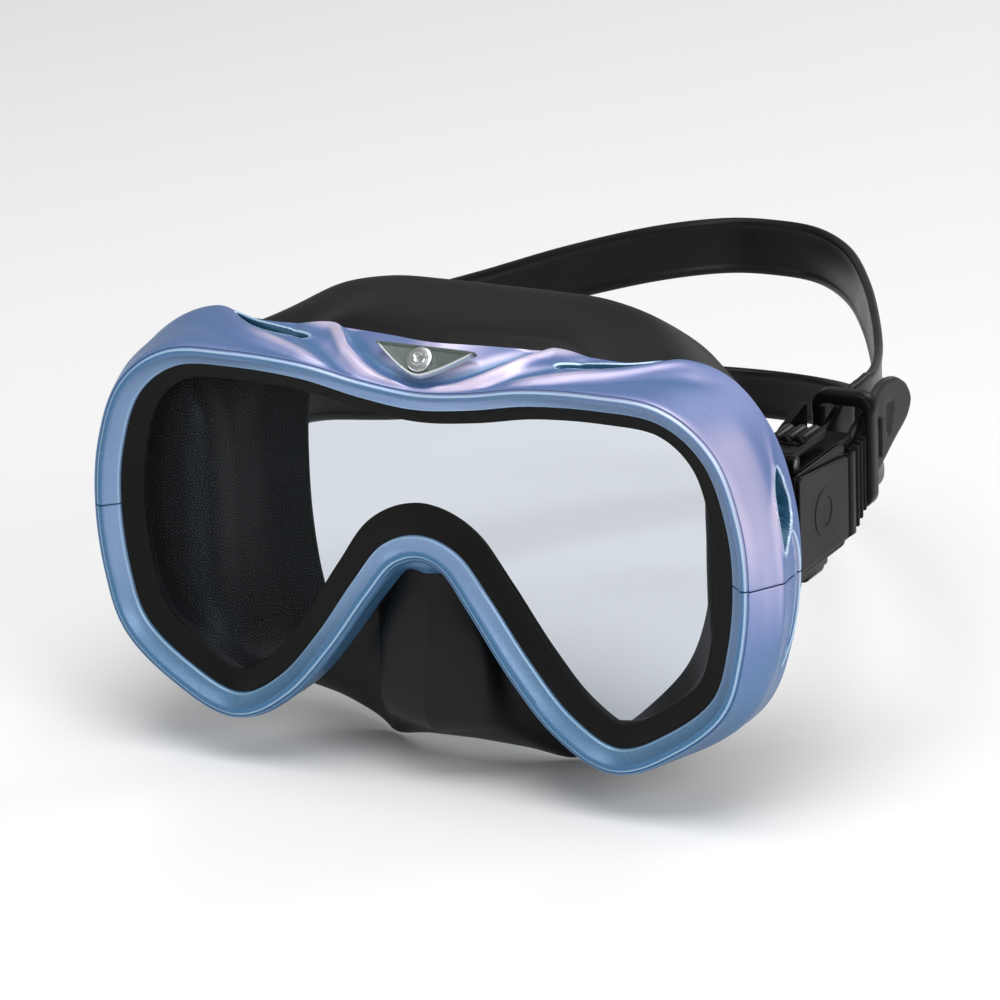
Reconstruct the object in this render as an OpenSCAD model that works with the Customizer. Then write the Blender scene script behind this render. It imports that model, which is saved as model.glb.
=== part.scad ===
/* [Lens and frame] */
// Width of the lens opening inside the bezel
opening_w = 146; // [138:1:152]
// Height of the lens opening inside the bezel
opening_h = 74.4; // [70:0.2:78]
// Thickness of the tempered glass
lens_t = 3.8; // [3:0.1:4]
// How far the glass reaches under the bezel
lens_lap = 2.4; // [1.5:0.1:2.6]
// Gap at the joint between the two frame halves
seam_gap = 0.3; // [0.2:0.05:0.5]
// Radius of the steel pins that lock the frame halves together
seam_pin_r = 0.7; // [0.5:0.1:0.8]

/* [Skirt] */
// Distance from the front rim back to the face seal
seal_depth = 45; // [45:1:45]
// Wall thickness of the silicone skirt
skirt_t = 1.8; // [1.4:0.1:2]

/* [Strap] */
// Thickness of the silicone strap
strap_t = 2; // [1.6:0.1:2.2]
// Height of the strap where it runs through the buckle
strap_h = 19; // [16:0.5:19]

/* [Buckles] */
// Half the distance between the outer faces of the two buckles
buckle_half_w = 78.6; // [78:0.1:80]
// Height of the buckle between its top and bottom walls
buckle_h = 23; // [22:0.5:24]
// Radius of the pin that the buckle swings on
hinge_pin_r = 2; // [1.5:0.1:2.5]
// Radius of the roller that the strap turns round
roller_r = 3.3; // [3:0.1:3.4]
// Radius of the steel axle inside the roller
axle_r = 1.2; // [1:0.1:1.4]
// Running clearance of pins and axles in their bores
run_gap = 0.05; // [0.02:0.01:0.08]

/* [Hidden] */
$fn = 48;

// ---- small helpers ------------------------------------------------------------------------

// Point between b and c on a curve through a, b, c, d
function blend(a, b, c, d, u) =
    0.5 * (2 * b + (c - a) * u + (2 * a - 5 * b + 4 * c - d) * u * u
           + (3 * b - a - 3 * c + d) * u * u * u);

// Value at place t on a smooth curve through rows of [place, value]; flat beyond both ends
function row_at(rows, i) = rows[max(0, min(len(rows) - 1, i))];
function row_before(rows, t, i = 0) =
    i >= len(rows) - 2 || rows[i + 1][0] > t ? i : row_before(rows, t, i + 1);
function along(rows, t) =
    let (i = row_before(rows, t),
         b = row_at(rows, i), c = row_at(rows, i + 1),
         u = max(0, min(1, (t - b[0]) / (c[0] - b[0]))))
    blend(row_at(rows, i - 1)[1], b[1], c[1], row_at(rows, i + 2)[1], u);

function unit(v) = v / norm(v);

// A closed skin over a list of rings that all have the same number of points
module loft(rings, closed = false) {
    n = len(rings);
    k = len(rings[0]);
    last = closed ? n - 1 : n - 2;
    sides = [for (i = [0 : last]) for (j = [0 : k - 1])
        let (a = i * k + j, b = i * k + (j + 1) % k,
             c = ((i + 1) % n) * k + (j + 1) % k, d = ((i + 1) % n) * k + j)
        each [[a, b, c], [a, c, d]]];
    caps = closed ? [] : [[for (j = [k - 1 : -1 : 0]) j], [for (j = [0 : k - 1]) (n - 1) * k + j]];
    polyhedron(points = [for (r = rings) each r], faces = concat(sides, caps), convexity = 10);
}

// A cylinder along X from x0 to x1 round the line through y, z
module bar_x(r, x0, x1, y, z) translate([x0, y, z]) rotate([0, 90, 0]) cylinder(r = r, h = x1 - x0);

// A block between two corners
module block(low, high) translate(low) cube(high - low);

// The mask is drawn from its front rim plane; its origin is at the middle of the face seal
module worn() translate([0, -seal_depth, 0]) children();
module right_side() worn() children();
module left_side() worn() mirror([1, 0, 0]) children();

// ---- outline of the lens opening ----------------------------------------------------------

// Half of the opening, from the top centre round the side to the top of the nose arch, [x, z]
half_outline = [[0, 32.5], [13, 33.8], [27, 36.3], [43, 37.1], [57, 35.9], [66.8, 28.5],
    [71.6, 16], [73, 2.7], [71.6, -11.5], [67.8, -23.2], [57.5, -32.1], [45.7, -37.2],
    [35, -31.6], [25.5, -20.8], [16.3, -7.7], [9, 1.3], [0, 4.4]];
base_w = 146;
base_h = 74.4;
// Place of the side seam, the lobe and the nose arch, counted in points of the half outline
seam = 7;
arch = len(half_outline) - 1;
round_trip = 2 * arch;

function outline_point(i) =
    let (w = (i + 2 * round_trip) % round_trip, p = half_outline[w > arch ? round_trip - w : w])
    [p[0] * (w > arch ? -1 : 1) * opening_w / base_w, p[1] * opening_h / base_h];
function outline(t) =
    let (i = floor(t), u = t - i)
    blend(outline_point(i - 1), outline_point(i), outline_point(i + 1), outline_point(i + 2), u);
// Direction away from the middle of the lens, in the plane of the opening
function outward(t) = let (d = unit(outline(t + 0.25) - outline(t - 0.25))) [-d[1], d[0]];
// Point at distance off outside the opening and depth y behind the front plane
function rim_point(t, off, y) =
    let (p = outline(t) + outward(t) * off) [p[0], y, p[1]];
// Distance from the top centre along the outline, the same on both sides
function fold(t) = let (w = (t + 2 * round_trip) % round_trip) w > arch ? round_trip - w : w;

steps = 4;

// ---- frame section ------------------------------------------------------------------------

bezel_y = 2;
lip_back = 4.8;
lens_y = 4.9;
seat_off = 3;
seat_back = 9;
wall = 2;
// Crest of the bezel: how far outside the opening, and how deep
crest_off = [[0, 2.6], [4, 3.5], [7, 3.6], [11, 3.6], [14, 4], [16, 4.1]];
crest_y = [[0, 2.6], [1, 1.7], [2, 0.6], [3.2, -0.6], [5, -0.6], [11.5, -0.6], [13, -0.3],
           [15, 0.9], [16, 1.6]];
crest_flat = 0.5;
// Shoulder where the outer wall starts
shoulder_off = [[0, 5], [2, 4.9], [4, 5.2], [7, 6.5], [11, 4.8], [13, 4.8], [16, 5.4]];
shoulder_y = [[0, 4.8], [2, 3], [4, 2], [7, 2.5], [11, 2], [13, 1.5], [16, 2.8]];
// Ridge half way back
ridge_off = [[0, 8.8], [2, 6.6], [4, 6.6], [5, 7.8], [7, 9], [9, 7.8], [11, 5.6], [13, 5.2],
             [16, 7.4]];
ridge_y = [[0, 7.7], [2, 9.5], [4, 12], [5, 9], [7, 7.5], [9, 7], [11, 6.5], [13, 5], [16, 3.6]];
// Back edge
back_off = [[0, 12.2], [1, 10.4], [2, 7.4], [3, 6.6], [4, 8.2], [5, 9], [7, 9.1], [9, 8],
            [11, 6], [13, 5.6], [15, 7.4], [16, 9.2]];
back_y = [[0, 11.5], [1, 14.5], [2, 17.2], [3, 16], [4, 20.7], [5, 18.5], [7, 16.6], [9, 15.2],
          [11, 13.6], [13, 11], [15, 6.4], [16, 5]];

// Groove between the ridge and the back edge on each side, where the side slots are
groove = [[5, 0], [6, 1.2], [7, 1.9], [8.6, 1.4], [9.4, 0], [10, 0]];

function frame_section(t) =
    let (f = fold(t),
         co = along(crest_off, f), cy = along(crest_y, f),
         ro = along(ridge_off, f), ry = along(ridge_y, f),
         bo = along(back_off, f), by = along(back_y, f),
         g = f > 5 && f < 9.4 ? along(groove, f) : 0)
    [rim_point(t, 0, bezel_y),
     rim_point(t, co - crest_flat, cy),
     rim_point(t, co + crest_flat, cy),
     rim_point(t, along(shoulder_off, f), along(shoulder_y, f)),
     rim_point(t, ro, ry),
     rim_point(t, (ro + bo) / 2 - g, (ry + by) / 2),
     rim_point(t, bo, by),
     rim_point(t, bo - wall, by + 0.3),
     rim_point(t, seat_off, seat_back),
     rim_point(t, seat_off, lip_back),
     rim_point(t, 0, lip_back)];

module frame_arc(from, to) {
    n = ceil((to - from) * steps);
    loft([for (i = [0 : n]) frame_section(from + (to - from) * i / n)]);
}

// Half of the seam gap, counted along the outline
seam_half = seam_gap / 2 / 14;
pin_y = 10.2;
pin_off = 5;
pin_half_len = 4;
module seam_pin_shape(r, half_len) {
    p = rim_point(seam, pin_off, pin_y);
    translate([p[0], p[1], p[2] - half_len]) cylinder(r = r, h = 2 * half_len);
}

module upper_frame() color([0.45, 0.53, 0.74]) worn() difference() {
    frame_arc(-seam + seam_half, seam - seam_half);
    for (side = [0, 1]) mirror([side, 0, 0]) seam_pin_shape(seam_pin_r, pin_half_len);
}

module lower_frame() color([0.4, 0.55, 0.72]) worn() difference() {
    frame_arc(seam + seam_half, round_trip - seam - seam_half);
    for (side = [0, 1]) mirror([side, 0, 0]) seam_pin_shape(seam_pin_r, pin_half_len);
}

module right_seam_pin() color("silver") right_side() seam_pin_shape(seam_pin_r, pin_half_len - 0.5);
module left_seam_pin() color("silver") left_side() seam_pin_shape(seam_pin_r, pin_half_len - 0.5);

// ---- lens ---------------------------------------------------------------------------------

module lens() color([0.8, 0.85, 0.88, 0.4]) worn()
    translate([0, lens_y + lens_t, 0]) rotate([90, 0, 0])
        linear_extrude(lens_t)
            polygon([for (i = [0 : round_trip * steps - 1])
                outline(i / steps) + outward(i / steps) * lens_lap]);

// How far the black gasket covers the front of the glass, by place
gasket_in = [[0, 3.4], [4, 3.6], [6, 4.6], [8, 4.8], [11, 4.6], [14, 5.4], [16, 6.6]];
gasket_gap = 0.1;
gasket_front = 2.5;
gasket_lip = 4.2;
function gasket_section(t) =
    let (reach = -along(gasket_in, fold(t)))
    [rim_point(t, reach, gasket_lip), rim_point(t, -gasket_gap, gasket_front),
     rim_point(t, -gasket_gap, lens_y - gasket_gap), rim_point(t, reach, lens_y - gasket_gap)];
module lens_gasket() color([0.06, 0.06, 0.07]) worn()
    loft([for (i = [0 : round_trip * steps - 1]) gasket_section(i / steps)], closed = true);

// ---- badge --------------------------------------------------------------------------------

badge_tilt = 33;
badge_pos = [0, 5.4, 38.6];
badge_half_w = 11.4;
badge_rise = 5.6;
badge_t = 1.4;
boss_r = 2.9;
boss_t = 1.3;
module on_badge() translate(badge_pos) rotate([90 - badge_tilt, 0, 0]) children();

module badge_plate() color([0.6, 0.64, 0.62]) worn() on_badge()
    translate([0, 0, 0.4]) linear_extrude(badge_t)
        polygon([[-badge_half_w, badge_rise], [-badge_half_w, badge_rise - 0.6], [-3, 0.4], [0, -0.4],
                 [3, 0.4], [badge_half_w, badge_rise - 0.6], [badge_half_w, badge_rise],
                 [0, badge_rise - 0.9]]);

module badge_emblem() color("gainsboro") worn() on_badge()
    translate([0, badge_rise / 2 - 0.4, 0.4 + badge_t]) {
        cylinder(r = boss_r, h = boss_t);
        cylinder(r = boss_r - 1.1, h = boss_t + 0.4);
    }

// ---- skirt --------------------------------------------------------------------------------

// Rings of the outer surface behind the frame, [place, [x, y, z]], from the top centre to the nose
waist = [[0, [0, 22, 45.6]], [1, [13, 22.5, 45.8]], [2, [27, 24, 44.6]], [3, [41, 24, 38.6]],
    [4, [56, 24.5, 35.4]], [5, [66.5, 23.5, 30]], [6, [62, 19.6, 19]], [7, [61.5, 19.5, 4]],
    [8, [61.5, 19.5, -10.5]], [9, [61.5, 20, -24.5]], [10, [56, 20.5, -34]], [11, [43.5, 20, -39]],
    [12, [31, 16.5, -37.5]], [13.5, [15.6, 12.6, -27]], [15, [11.6, 6.2, -21]], [16, [0, 4, -20]]];
pouch = [[0, [0, 34, 47.2]], [1, [13, 34, 47.4]], [2, [26, 34.5, 46.6]], [3, [38.5, 35, 43.4]],
    [4, [52.5, 34.5, 38]], [5, [65, 32.5, 31]], [6, [60.8, 28.5, 18]], [7, [59.6, 28.5, 5]],
    [8, [59.4, 28.5, -10]], [9, [58, 28, -24.5]], [10, [52, 28, -35]], [11, [41, 26.5, -41.5]],
    [12, [29, 21, -42]], [13.5, [16.6, 15, -37]], [15, [12, 6.6, -36]], [16, [0, 3, -37.4]]];
cheek = [[0, [0, 44.6, 48]], [1, [13, 44.6, 48]], [2, [26, 44.2, 47.6]], [3, [38.5, 43.6, 44.6]],
    [4, [48.5, 46.5, 37.4]], [5, [55.5, 46, 28]], [6, [58.5, 41, 18]], [7, [57, 38, 5]],
    [8, [56.4, 38, -10]], [9, [54, 37, -24.5]], [10, [48.5, 36, -36]], [11, [38.5, 33, -43.5]],
    [12, [28.5, 26, -45.8]], [13.5, [19, 20, -45]], [15, [12, 13.5, -42.4]], [16, [0, 12, -43.6]]];
seal_edge = [[0, [0, 46, 44]], [1, [13, 46, 43.6]], [2, [22, 46.2, 42.6]], [3, [33, 47.5, 39.6]],
    [4, [42.5, 50, 32.6]], [5, [49, 50, 23.5]], [6, [50.5, 47.5, 14]], [7, [50, 45.4, 3]],
    [8, [49.4, 45, -10]], [9, [47.5, 44.6, -23]], [10, [43.5, 43, -33.5]], [11, [35.5, 39.5, -43]],
    [12, [28, 34, -49.4]], [13.5, [22, 29.5, -52.4]], [15, [12, 27, -50.6]], [16, [0, 26.4, -50]]];
// Brow of the nose pocket, just under the frame's arch
brow = [[13.5, [16, 12.2, -18.5]], [15, [7.6, 7.4, -9]], [16, [0, 6.6, -8.2]]];
brow_from = 13.5;

function at_side(t, p) = [p[0] * ((t + 2 * round_trip) % round_trip > arch ? -1 : 1), p[1], p[2]];
function skirt_tuck(t) =
    let (f = fold(t), bo = along(back_off, f) - wall, by = along(back_y, f))
    rim_point(t, seat_off + (bo - seat_off) * 0.8 - 0.5, seat_back + (by - seat_back) * 0.8 + 1.2);
function skirt_brow(t) =
    let (f = fold(t), mid = (skirt_tuck(t) + at_side(t, along(waist, f))) / 2)
    f < 12 ? mid
    : f > brow_from ? at_side(t, along(brow, f))
    : mid + (at_side(t, along(brow, brow_from)) - mid) * (f - 12) / (brow_from - 12);
function skirt_outer(t) =
    let (f = fold(t))
    [rim_point(t, -2, seat_back), rim_point(t, 2, seat_back), skirt_tuck(t), skirt_brow(t),
     at_side(t, along(waist, f)), at_side(t, along(pouch, f)),
     at_side(t, along(cheek, f)), at_side(t, along(seal_edge, f))];
// Inner surface: the outer one moved in by the wall thickness
function skirt_inner(t) =
    let (a = skirt_outer(t - 0.2), b = skirt_outer(t + 0.2), p = skirt_outer(t), k = len(p))
    [for (j = [0 : k - 1])
        let (down = p[min(k - 1, j + 1)] - p[max(0, j - 1)], across = b[j] - a[j])
        p[j] + unit(cross(down, across)) * skirt_t];
function skirt_section(t) =
    let (inner = skirt_inner(t), k = len(inner))
    concat(skirt_outer(t), [for (j = [k - 1 : -1 : 0]) inner[j]]);

module skirt() color([0.11, 0.11, 0.12]) worn()
    loft([for (i = [0 : round_trip * steps - 1]) skirt_section(i / steps)], closed = true);

// ---- buckles, drawn for the right side ----------------------------------------------------

hinge_y = 27;
buckle_z = 8.5;
side_wall = 1.5;
inner_x = 62.8;
plate_t = 1.7;
cover_t = 2;
cover_in = buckle_half_w - cover_t;
wall_top = buckle_z + buckle_h / 2;
wall_low = buckle_z - buckle_h / 2;
roller_x = 70.6;
roller_y = 52;
wall_front = 27;
wall_rear = 56;
cover_front = 24;
cover_rear = 50;
boss_outer_r = 6;
boss_end = 71.5;

// Rounded block along X with chamfered corners: outline in Y and Z
module panel(x0, x1, y0, y1, z0, z1, cut) translate([x0, 0, 0]) rotate([90, 0, 90])
    linear_extrude(x1 - x0)
        polygon([[y0 + cut, z0], [y1 - cut, z0], [y1, z0 + cut], [y1, z1 - cut], [y1 - cut, z1],
                 [y0 + cut, z1], [y0, z1 - cut], [y0, z0 + cut]]);

// Mount moulded into the skirt, and the pin with its flat head
mount_r = 7.5;
mount_in = 59.6;
mount_out = 62.4;
mount_front = 20.5;
mount_half_h = 5;
module buckle_mount_shape() difference() {
    union() {
        bar_x(mount_r, mount_in, mount_out, hinge_y, buckle_z);
        block([mount_in, mount_front, buckle_z - mount_half_h],
              [mount_out, hinge_y, buckle_z + mount_half_h]);
    }
    bar_x(hinge_pin_r, mount_in - 1, mount_out + 1, hinge_y, buckle_z);
}

pin_head_r = hinge_pin_r + 1.3;
pin_head_gap = 0.4;
pin_head_t = 1.4;
module hinge_pin_shape() {
    bar_x(hinge_pin_r, mount_in + 0.2, boss_end + pin_head_gap, hinge_y, buckle_z);
    bar_x(pin_head_r, boss_end + pin_head_gap, boss_end + pin_head_gap + pin_head_t, hinge_y, buckle_z);
}

// Knuckles at the front of the top and bottom walls that hold the release levers
lever_pin_r = 0.9;
lever_y = 27.5;
lever_z = 13.4;
lever_half_w = 4.4;
lever_mid_x = 70.4;
knuckle_r = 1.7;
ear_t = 1.5;
ear_gap = 0.2;
module release_ears()
    for (x = [lever_mid_x - lever_half_w - ear_gap - ear_t, lever_mid_x + lever_half_w + ear_gap])
        difference() {
            union() {
                bar_x(knuckle_r, x, x + ear_t, lever_y, buckle_z + lever_z);
                block([x, lever_y - knuckle_r, wall_top - side_wall],
                      [x + ear_t, lever_y + knuckle_r, buckle_z + lever_z]);
            }
            bar_x(lever_pin_r, x - ear_t, x + 2 * ear_t, lever_y, buckle_z + lever_z);
        }

module both_levels() for (flip = [0, 1])
    translate([0, 0, buckle_z]) mirror([0, 0, flip]) translate([0, 0, -buckle_z]) children();

plate_cut = 2;
boss_rib_len = 7;
module buckle_base_shape() {
    difference() {
        union() {
            panel(inner_x, inner_x + plate_t, wall_front - 3, wall_rear + 2, wall_low, wall_top, plate_cut);
            bar_x(boss_outer_r, inner_x, boss_end, hinge_y, buckle_z);
            block([inner_x, hinge_y, wall_low + 1], [boss_end, hinge_y + boss_rib_len, wall_top - 1]);
            block([inner_x, wall_front, wall_top - side_wall], [cover_in, wall_rear, wall_top]);
            block([inner_x, wall_front, wall_low], [cover_in, wall_rear, wall_low + side_wall]);
        }
        bar_x(hinge_pin_r + run_gap, inner_x - 1, boss_end + 1, hinge_y, buckle_z);
        translate([roller_x, roller_y, wall_low - 1]) cylinder(r = axle_r, h = buckle_h + 2);
    }
    both_levels() release_ears();
}

// Cover: a flat panel, then a column and stepped ribs that climb towards the strap
inlay_y = 37.5;
inlay_r = 5.3;
inlay_hole_r = 3.2;
inlay_depth = 0.7;
cover_cut = 1.2;
column_len = 4.5;
rib_len = 2.3;
ribs = 2;
module buckle_cover_shape() {
    difference() {
        panel(cover_in, buckle_half_w, cover_front, cover_rear, wall_low, wall_top, cover_cut);
        bar_x(inlay_r + 0.1, buckle_half_w - inlay_depth, buckle_half_w + 1, inlay_y, buckle_z);
    }
    panel(cover_in, buckle_half_w - 0.6, cover_rear, cover_rear + column_len,
          wall_low + 1, wall_top - 1, cover_cut / 2);
    for (i = [1 : ribs])
        panel(cover_in, buckle_half_w - 0.6, cover_rear + column_len + (i - 1) * rib_len,
              cover_rear + column_len + i * rib_len, wall_low + 0.6 + 1.6 * i, wall_top - 1.4 + 0.8 * i,
              cover_cut / 2);
}

module cover_inlay_shape() difference() {
    bar_x(inlay_r, buckle_half_w - inlay_depth, buckle_half_w + 0.1, inlay_y, buckle_z);
    bar_x(inlay_hole_r, buckle_half_w - 0.3, buckle_half_w + 1, inlay_y, buckle_z);
}

// Release lever: a plate on a knuckle with three rounded grip ridges
lever_rear = 44;
lever_low = 13.1;
lever_top = 14.9;
ridge_r = 1.25;
ridge_step = 2.7;
ridge_start = 32.5;
ridge_len = 8;
module release_shape() difference() {
    union() {
        bar_x(knuckle_r, lever_mid_x - lever_half_w, lever_mid_x + lever_half_w,
              lever_y, buckle_z + lever_z);
        block([lever_mid_x - lever_half_w, lever_y, buckle_z + lever_low],
              [lever_mid_x + lever_half_w, lever_rear, buckle_z + lever_top]);
        for (i = [-1 : 1]) translate([lever_mid_x + i * ridge_step, ridge_start, buckle_z + lever_top]) {
            rotate([-90, 0, 0]) cylinder(r = ridge_r, h = ridge_len);
            sphere(r = ridge_r);
            translate([0, ridge_len, 0]) sphere(r = ridge_r);
        }
    }
    bar_x(lever_pin_r + run_gap, lever_mid_x - 2 * lever_half_w, lever_mid_x + 2 * lever_half_w,
          lever_y, buckle_z + lever_z);
}
module upper_release_shape() release_shape();
module lower_release_shape() translate([0, 0, buckle_z]) mirror([0, 0, 1])
    translate([0, 0, -buckle_z]) release_shape();

pin_reach = lever_half_w + ear_t + 0.1;
module release_pins_shape() both_levels()
    bar_x(lever_pin_r, lever_mid_x - pin_reach, lever_mid_x + pin_reach, lever_y, buckle_z + lever_z);

roller_h = 19.2;
module strap_roller_shape() translate([roller_x, roller_y, buckle_z - roller_h / 2]) difference() {
    cylinder(r = roller_r, h = roller_h);
    translate([0, 0, -1]) cylinder(r = axle_r + run_gap, h = roller_h + 2);
}
module roller_axle_shape() translate([roller_x, roller_y, wall_low - 0.4])
    cylinder(r = axle_r, h = buckle_h + 0.8);

// Keeper: a loop round both layers of the strap, its foot rising towards the outer layer
keeper_y = 60.4;
keeper_len = 4.6;
keeper_t = 1.5;
keeper_in_x = 66.8;
keeper_out_x = 77.6;
keeper_top = 24.2;
keeper_foot = -1.8;
keeper_rise = 2.2;
// Outline of the loop in X and Z, at distance t outside the strap's space
function keeper_outline(t) =
    [[keeper_in_x - t, keeper_foot - t], [keeper_out_x + t, keeper_foot + keeper_rise - t],
     [keeper_out_x + t, keeper_top + t], [keeper_in_x - t, keeper_top + t]];
module keeper_shape() translate([0, keeper_y + keeper_len, 0]) rotate([90, 0, 0])
    linear_extrude(keeper_len) difference() {
        polygon(keeper_outline(keeper_t));
        polygon(keeper_outline(0));
    }

module right_buckle_mount() color([0.16, 0.16, 0.17]) right_side() buckle_mount_shape();
module left_buckle_mount() color([0.16, 0.16, 0.17]) left_side() buckle_mount_shape();
module right_hinge_pin() color("silver") right_side() hinge_pin_shape();
module left_hinge_pin() color("silver") left_side() hinge_pin_shape();
module right_buckle_base() color([0.12, 0.12, 0.13]) right_side() buckle_base_shape();
module left_buckle_base() color([0.12, 0.12, 0.13]) left_side() buckle_base_shape();
module right_buckle_cover() color([0.15, 0.15, 0.16]) right_side() buckle_cover_shape();
module left_buckle_cover() color([0.15, 0.15, 0.16]) left_side() buckle_cover_shape();
module right_cover_inlay() color([0.25, 0.25, 0.26]) right_side() cover_inlay_shape();
module left_cover_inlay() color([0.25, 0.25, 0.26]) left_side() cover_inlay_shape();
module right_upper_release() color([0.13, 0.13, 0.14]) right_side() upper_release_shape();
module left_upper_release() color([0.13, 0.13, 0.14]) left_side() upper_release_shape();
module right_lower_release() color([0.13, 0.13, 0.14]) right_side() lower_release_shape();
module left_lower_release() color([0.13, 0.13, 0.14]) left_side() lower_release_shape();
module right_release_pins() color("silver") right_side() release_pins_shape();
module left_release_pins() color("silver") left_side() release_pins_shape();
module right_strap_roller() color([0.2, 0.2, 0.2]) right_side() strap_roller_shape();
module left_strap_roller() color([0.2, 0.2, 0.2]) left_side() strap_roller_shape();
module right_roller_axle() color("silver") right_side() roller_axle_shape();
module left_roller_axle() color("silver") left_side() roller_axle_shape();
module right_strap_keeper() color([0.13, 0.13, 0.14]) right_side() keeper_shape();
module left_strap_keeper() color([0.13, 0.13, 0.14]) left_side() keeper_shape();

// ---- strap --------------------------------------------------------------------------------

// Layers of the strap beside the roller, and the turn between them
turn_r = roller_r + 0.35 + strap_t / 2;
in_x = roller_x - turn_r;
out_x = roller_x + turn_r;
turn = [for (a = [0 : 30 : 180]) [roller_x + turn_r * cos(a), roller_y - turn_r * sin(a)]];
// The tail's tip, long on the right and cut short on the left: [x, y, middle z, half height]
long_tip = [[out_x + 2.6, 82.6, 19.9, 2.2], [out_x + 2.4, 80.8, 19.9, 4.2],
            [out_x + 1.9, 76.5, 19.6, 6.8], [out_x + 1.3, 71, 17.6, 9]];
short_tip = [[out_x + 1.5, 72.4, 13.4, 3.4], [out_x + 1.4, 71.4, 13.4, 6],
             [out_x + 1.1, 69, 13.3, 8.4]];
// From the tip round the roller to where the strap divides
to_split = concat(
    [[out_x + 0.6, 65, 13, 9.6], [out_x + 0.1, 60, 10.2, 9.6], [out_x, 57, buckle_z, strap_h / 2]],
    [for (p = turn) [p[0], p[1], buckle_z, strap_h / 2]],
    [[in_x, 57, buckle_z, strap_h / 2], [in_x + 2.7, 61.6, 9.6, 10.6], [in_x + 3.2, 69, 12, 12.4],
     [in_x + 3.4, 77, 12, 13], [in_x + 3, 82, 11.6, 13.4]]);
// Route of both bands from one side to the middle of the back: [x, y]
band_route = [[in_x + 3.2, 76], [67.6, 88], [60.5, 108], [50.5, 130], [38.5, 152.5], [25.5, 172.5],
              [12.5, 184.8], [0, 188]];
// Middle height and half height of the upper and lower band along that route
upper_band = [[18.6, 6.4], [17.6, 6.4], [15.4, 6.5], [15.2, 6.6], [16.4, 6.7], [17, 6.8],
              [17.1, 6.8], [17, 6.8]];
lower_band = [[5, 6.2], [2.8, 6.2], [-2.4, 6.1], [-6.4, 6], [-10.6, 6], [-15.6, 6], [-19, 6],
              [-19.8, 6]];
// Ribs across the long tail, just behind the keeper
teeth = 2;
tooth_y = 67.2;
tooth_step = 2.2;
tooth = [1.6, 1.4, 9];
tooth_z = 14;

// Strap sections: a flat rectangle that stands on its edge, at right angles to the route
function flat_rings(run) = [for (i = [0 : len(run) - 1])
    let (a = run[max(0, i - 1)], b = run[min(len(run) - 1, i + 1)], p = run[i],
         d = unit([b[0] - a[0], b[1] - a[1]]), s = [-d[1], d[0]] * strap_t / 2)
    [[p[0] + s[0], p[1] + s[1], p[2] - p[3]], [p[0] - s[0], p[1] - s[1], p[2] - p[3]],
     [p[0] - s[0], p[1] - s[1], p[2] + p[3]], [p[0] + s[0], p[1] + s[1], p[2] + p[3]]]];
function smooth(run, n) = [for (i = [0 : (len(run) - 1) * n])
    let (k = min(len(run) - 2, floor(i / n)), u = i / n - k)
    blend(run[max(0, k - 1)], run[k], run[k + 1], run[min(len(run) - 1, k + 2)], u)];
function half_band(heights) = [for (i = [0 : len(band_route) - 1]) concat(band_route[i], heights[i])];
function mirrored(run) = [for (i = [len(run) - 2 : -1 : 0]) [-run[i][0], run[i][1], run[i][2], run[i][3]]];
function whole_band(heights) = concat(half_band(heights), mirrored(half_band(heights)));

module head_strap() color([0.1, 0.1, 0.11]) worn() {
    loft(flat_rings(smooth(whole_band(upper_band), 4)));
    loft(flat_rings(smooth(whole_band(lower_band), 4)));
    loft(flat_rings(smooth(concat(long_tip, to_split), 3)));
    mirror([1, 0, 0]) loft(flat_rings(smooth(concat(short_tip, to_split), 3)));
    for (i = [0 : teeth - 1])
        translate([out_x + strap_t, tooth_y + i * tooth_step, tooth_z + i])
            cube(tooth, center = true);
}

lens();
lens_gasket();
upper_frame();
lower_frame();
skirt();
badge_plate();
badge_emblem();
left_seam_pin();
right_seam_pin();
left_buckle_mount();
right_buckle_mount();
left_hinge_pin();
right_hinge_pin();
left_buckle_base();
right_buckle_base();
left_buckle_cover();
right_buckle_cover();
left_cover_inlay();
right_cover_inlay();
left_upper_release();
right_upper_release();
left_lower_release();
right_lower_release();
left_release_pins();
right_release_pins();
left_strap_roller();
right_strap_roller();
left_roller_axle();
right_roller_axle();
left_strap_keeper();
right_strap_keeper();
head_strap();
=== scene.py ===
import math

import bmesh
import bpy
import numpy as np
from mathutils import Matrix, Vector


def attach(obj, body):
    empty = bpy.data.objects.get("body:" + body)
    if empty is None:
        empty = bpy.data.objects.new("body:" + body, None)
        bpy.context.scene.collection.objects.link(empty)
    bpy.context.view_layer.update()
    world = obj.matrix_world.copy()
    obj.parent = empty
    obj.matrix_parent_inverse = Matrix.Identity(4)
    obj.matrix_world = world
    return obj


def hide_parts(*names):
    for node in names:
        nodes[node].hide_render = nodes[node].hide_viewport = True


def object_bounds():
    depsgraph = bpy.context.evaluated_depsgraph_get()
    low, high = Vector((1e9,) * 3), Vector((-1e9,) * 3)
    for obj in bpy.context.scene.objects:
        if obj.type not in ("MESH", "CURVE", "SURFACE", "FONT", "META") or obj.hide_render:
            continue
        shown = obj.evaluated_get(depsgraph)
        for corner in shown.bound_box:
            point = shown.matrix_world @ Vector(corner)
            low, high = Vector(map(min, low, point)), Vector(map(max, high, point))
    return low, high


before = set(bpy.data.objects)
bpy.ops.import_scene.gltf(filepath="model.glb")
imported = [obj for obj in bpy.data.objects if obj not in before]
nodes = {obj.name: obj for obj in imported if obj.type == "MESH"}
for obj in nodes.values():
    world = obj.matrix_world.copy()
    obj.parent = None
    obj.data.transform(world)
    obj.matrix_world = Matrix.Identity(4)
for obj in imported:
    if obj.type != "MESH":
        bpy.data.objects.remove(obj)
cad_low, cad_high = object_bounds()

MM = 0.001
SEAL_DEPTH = 45.0  # the row frame starts at the face seal, this far behind the front rim


# ---- curves and meshes --------------------------------------------------------------------

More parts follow.
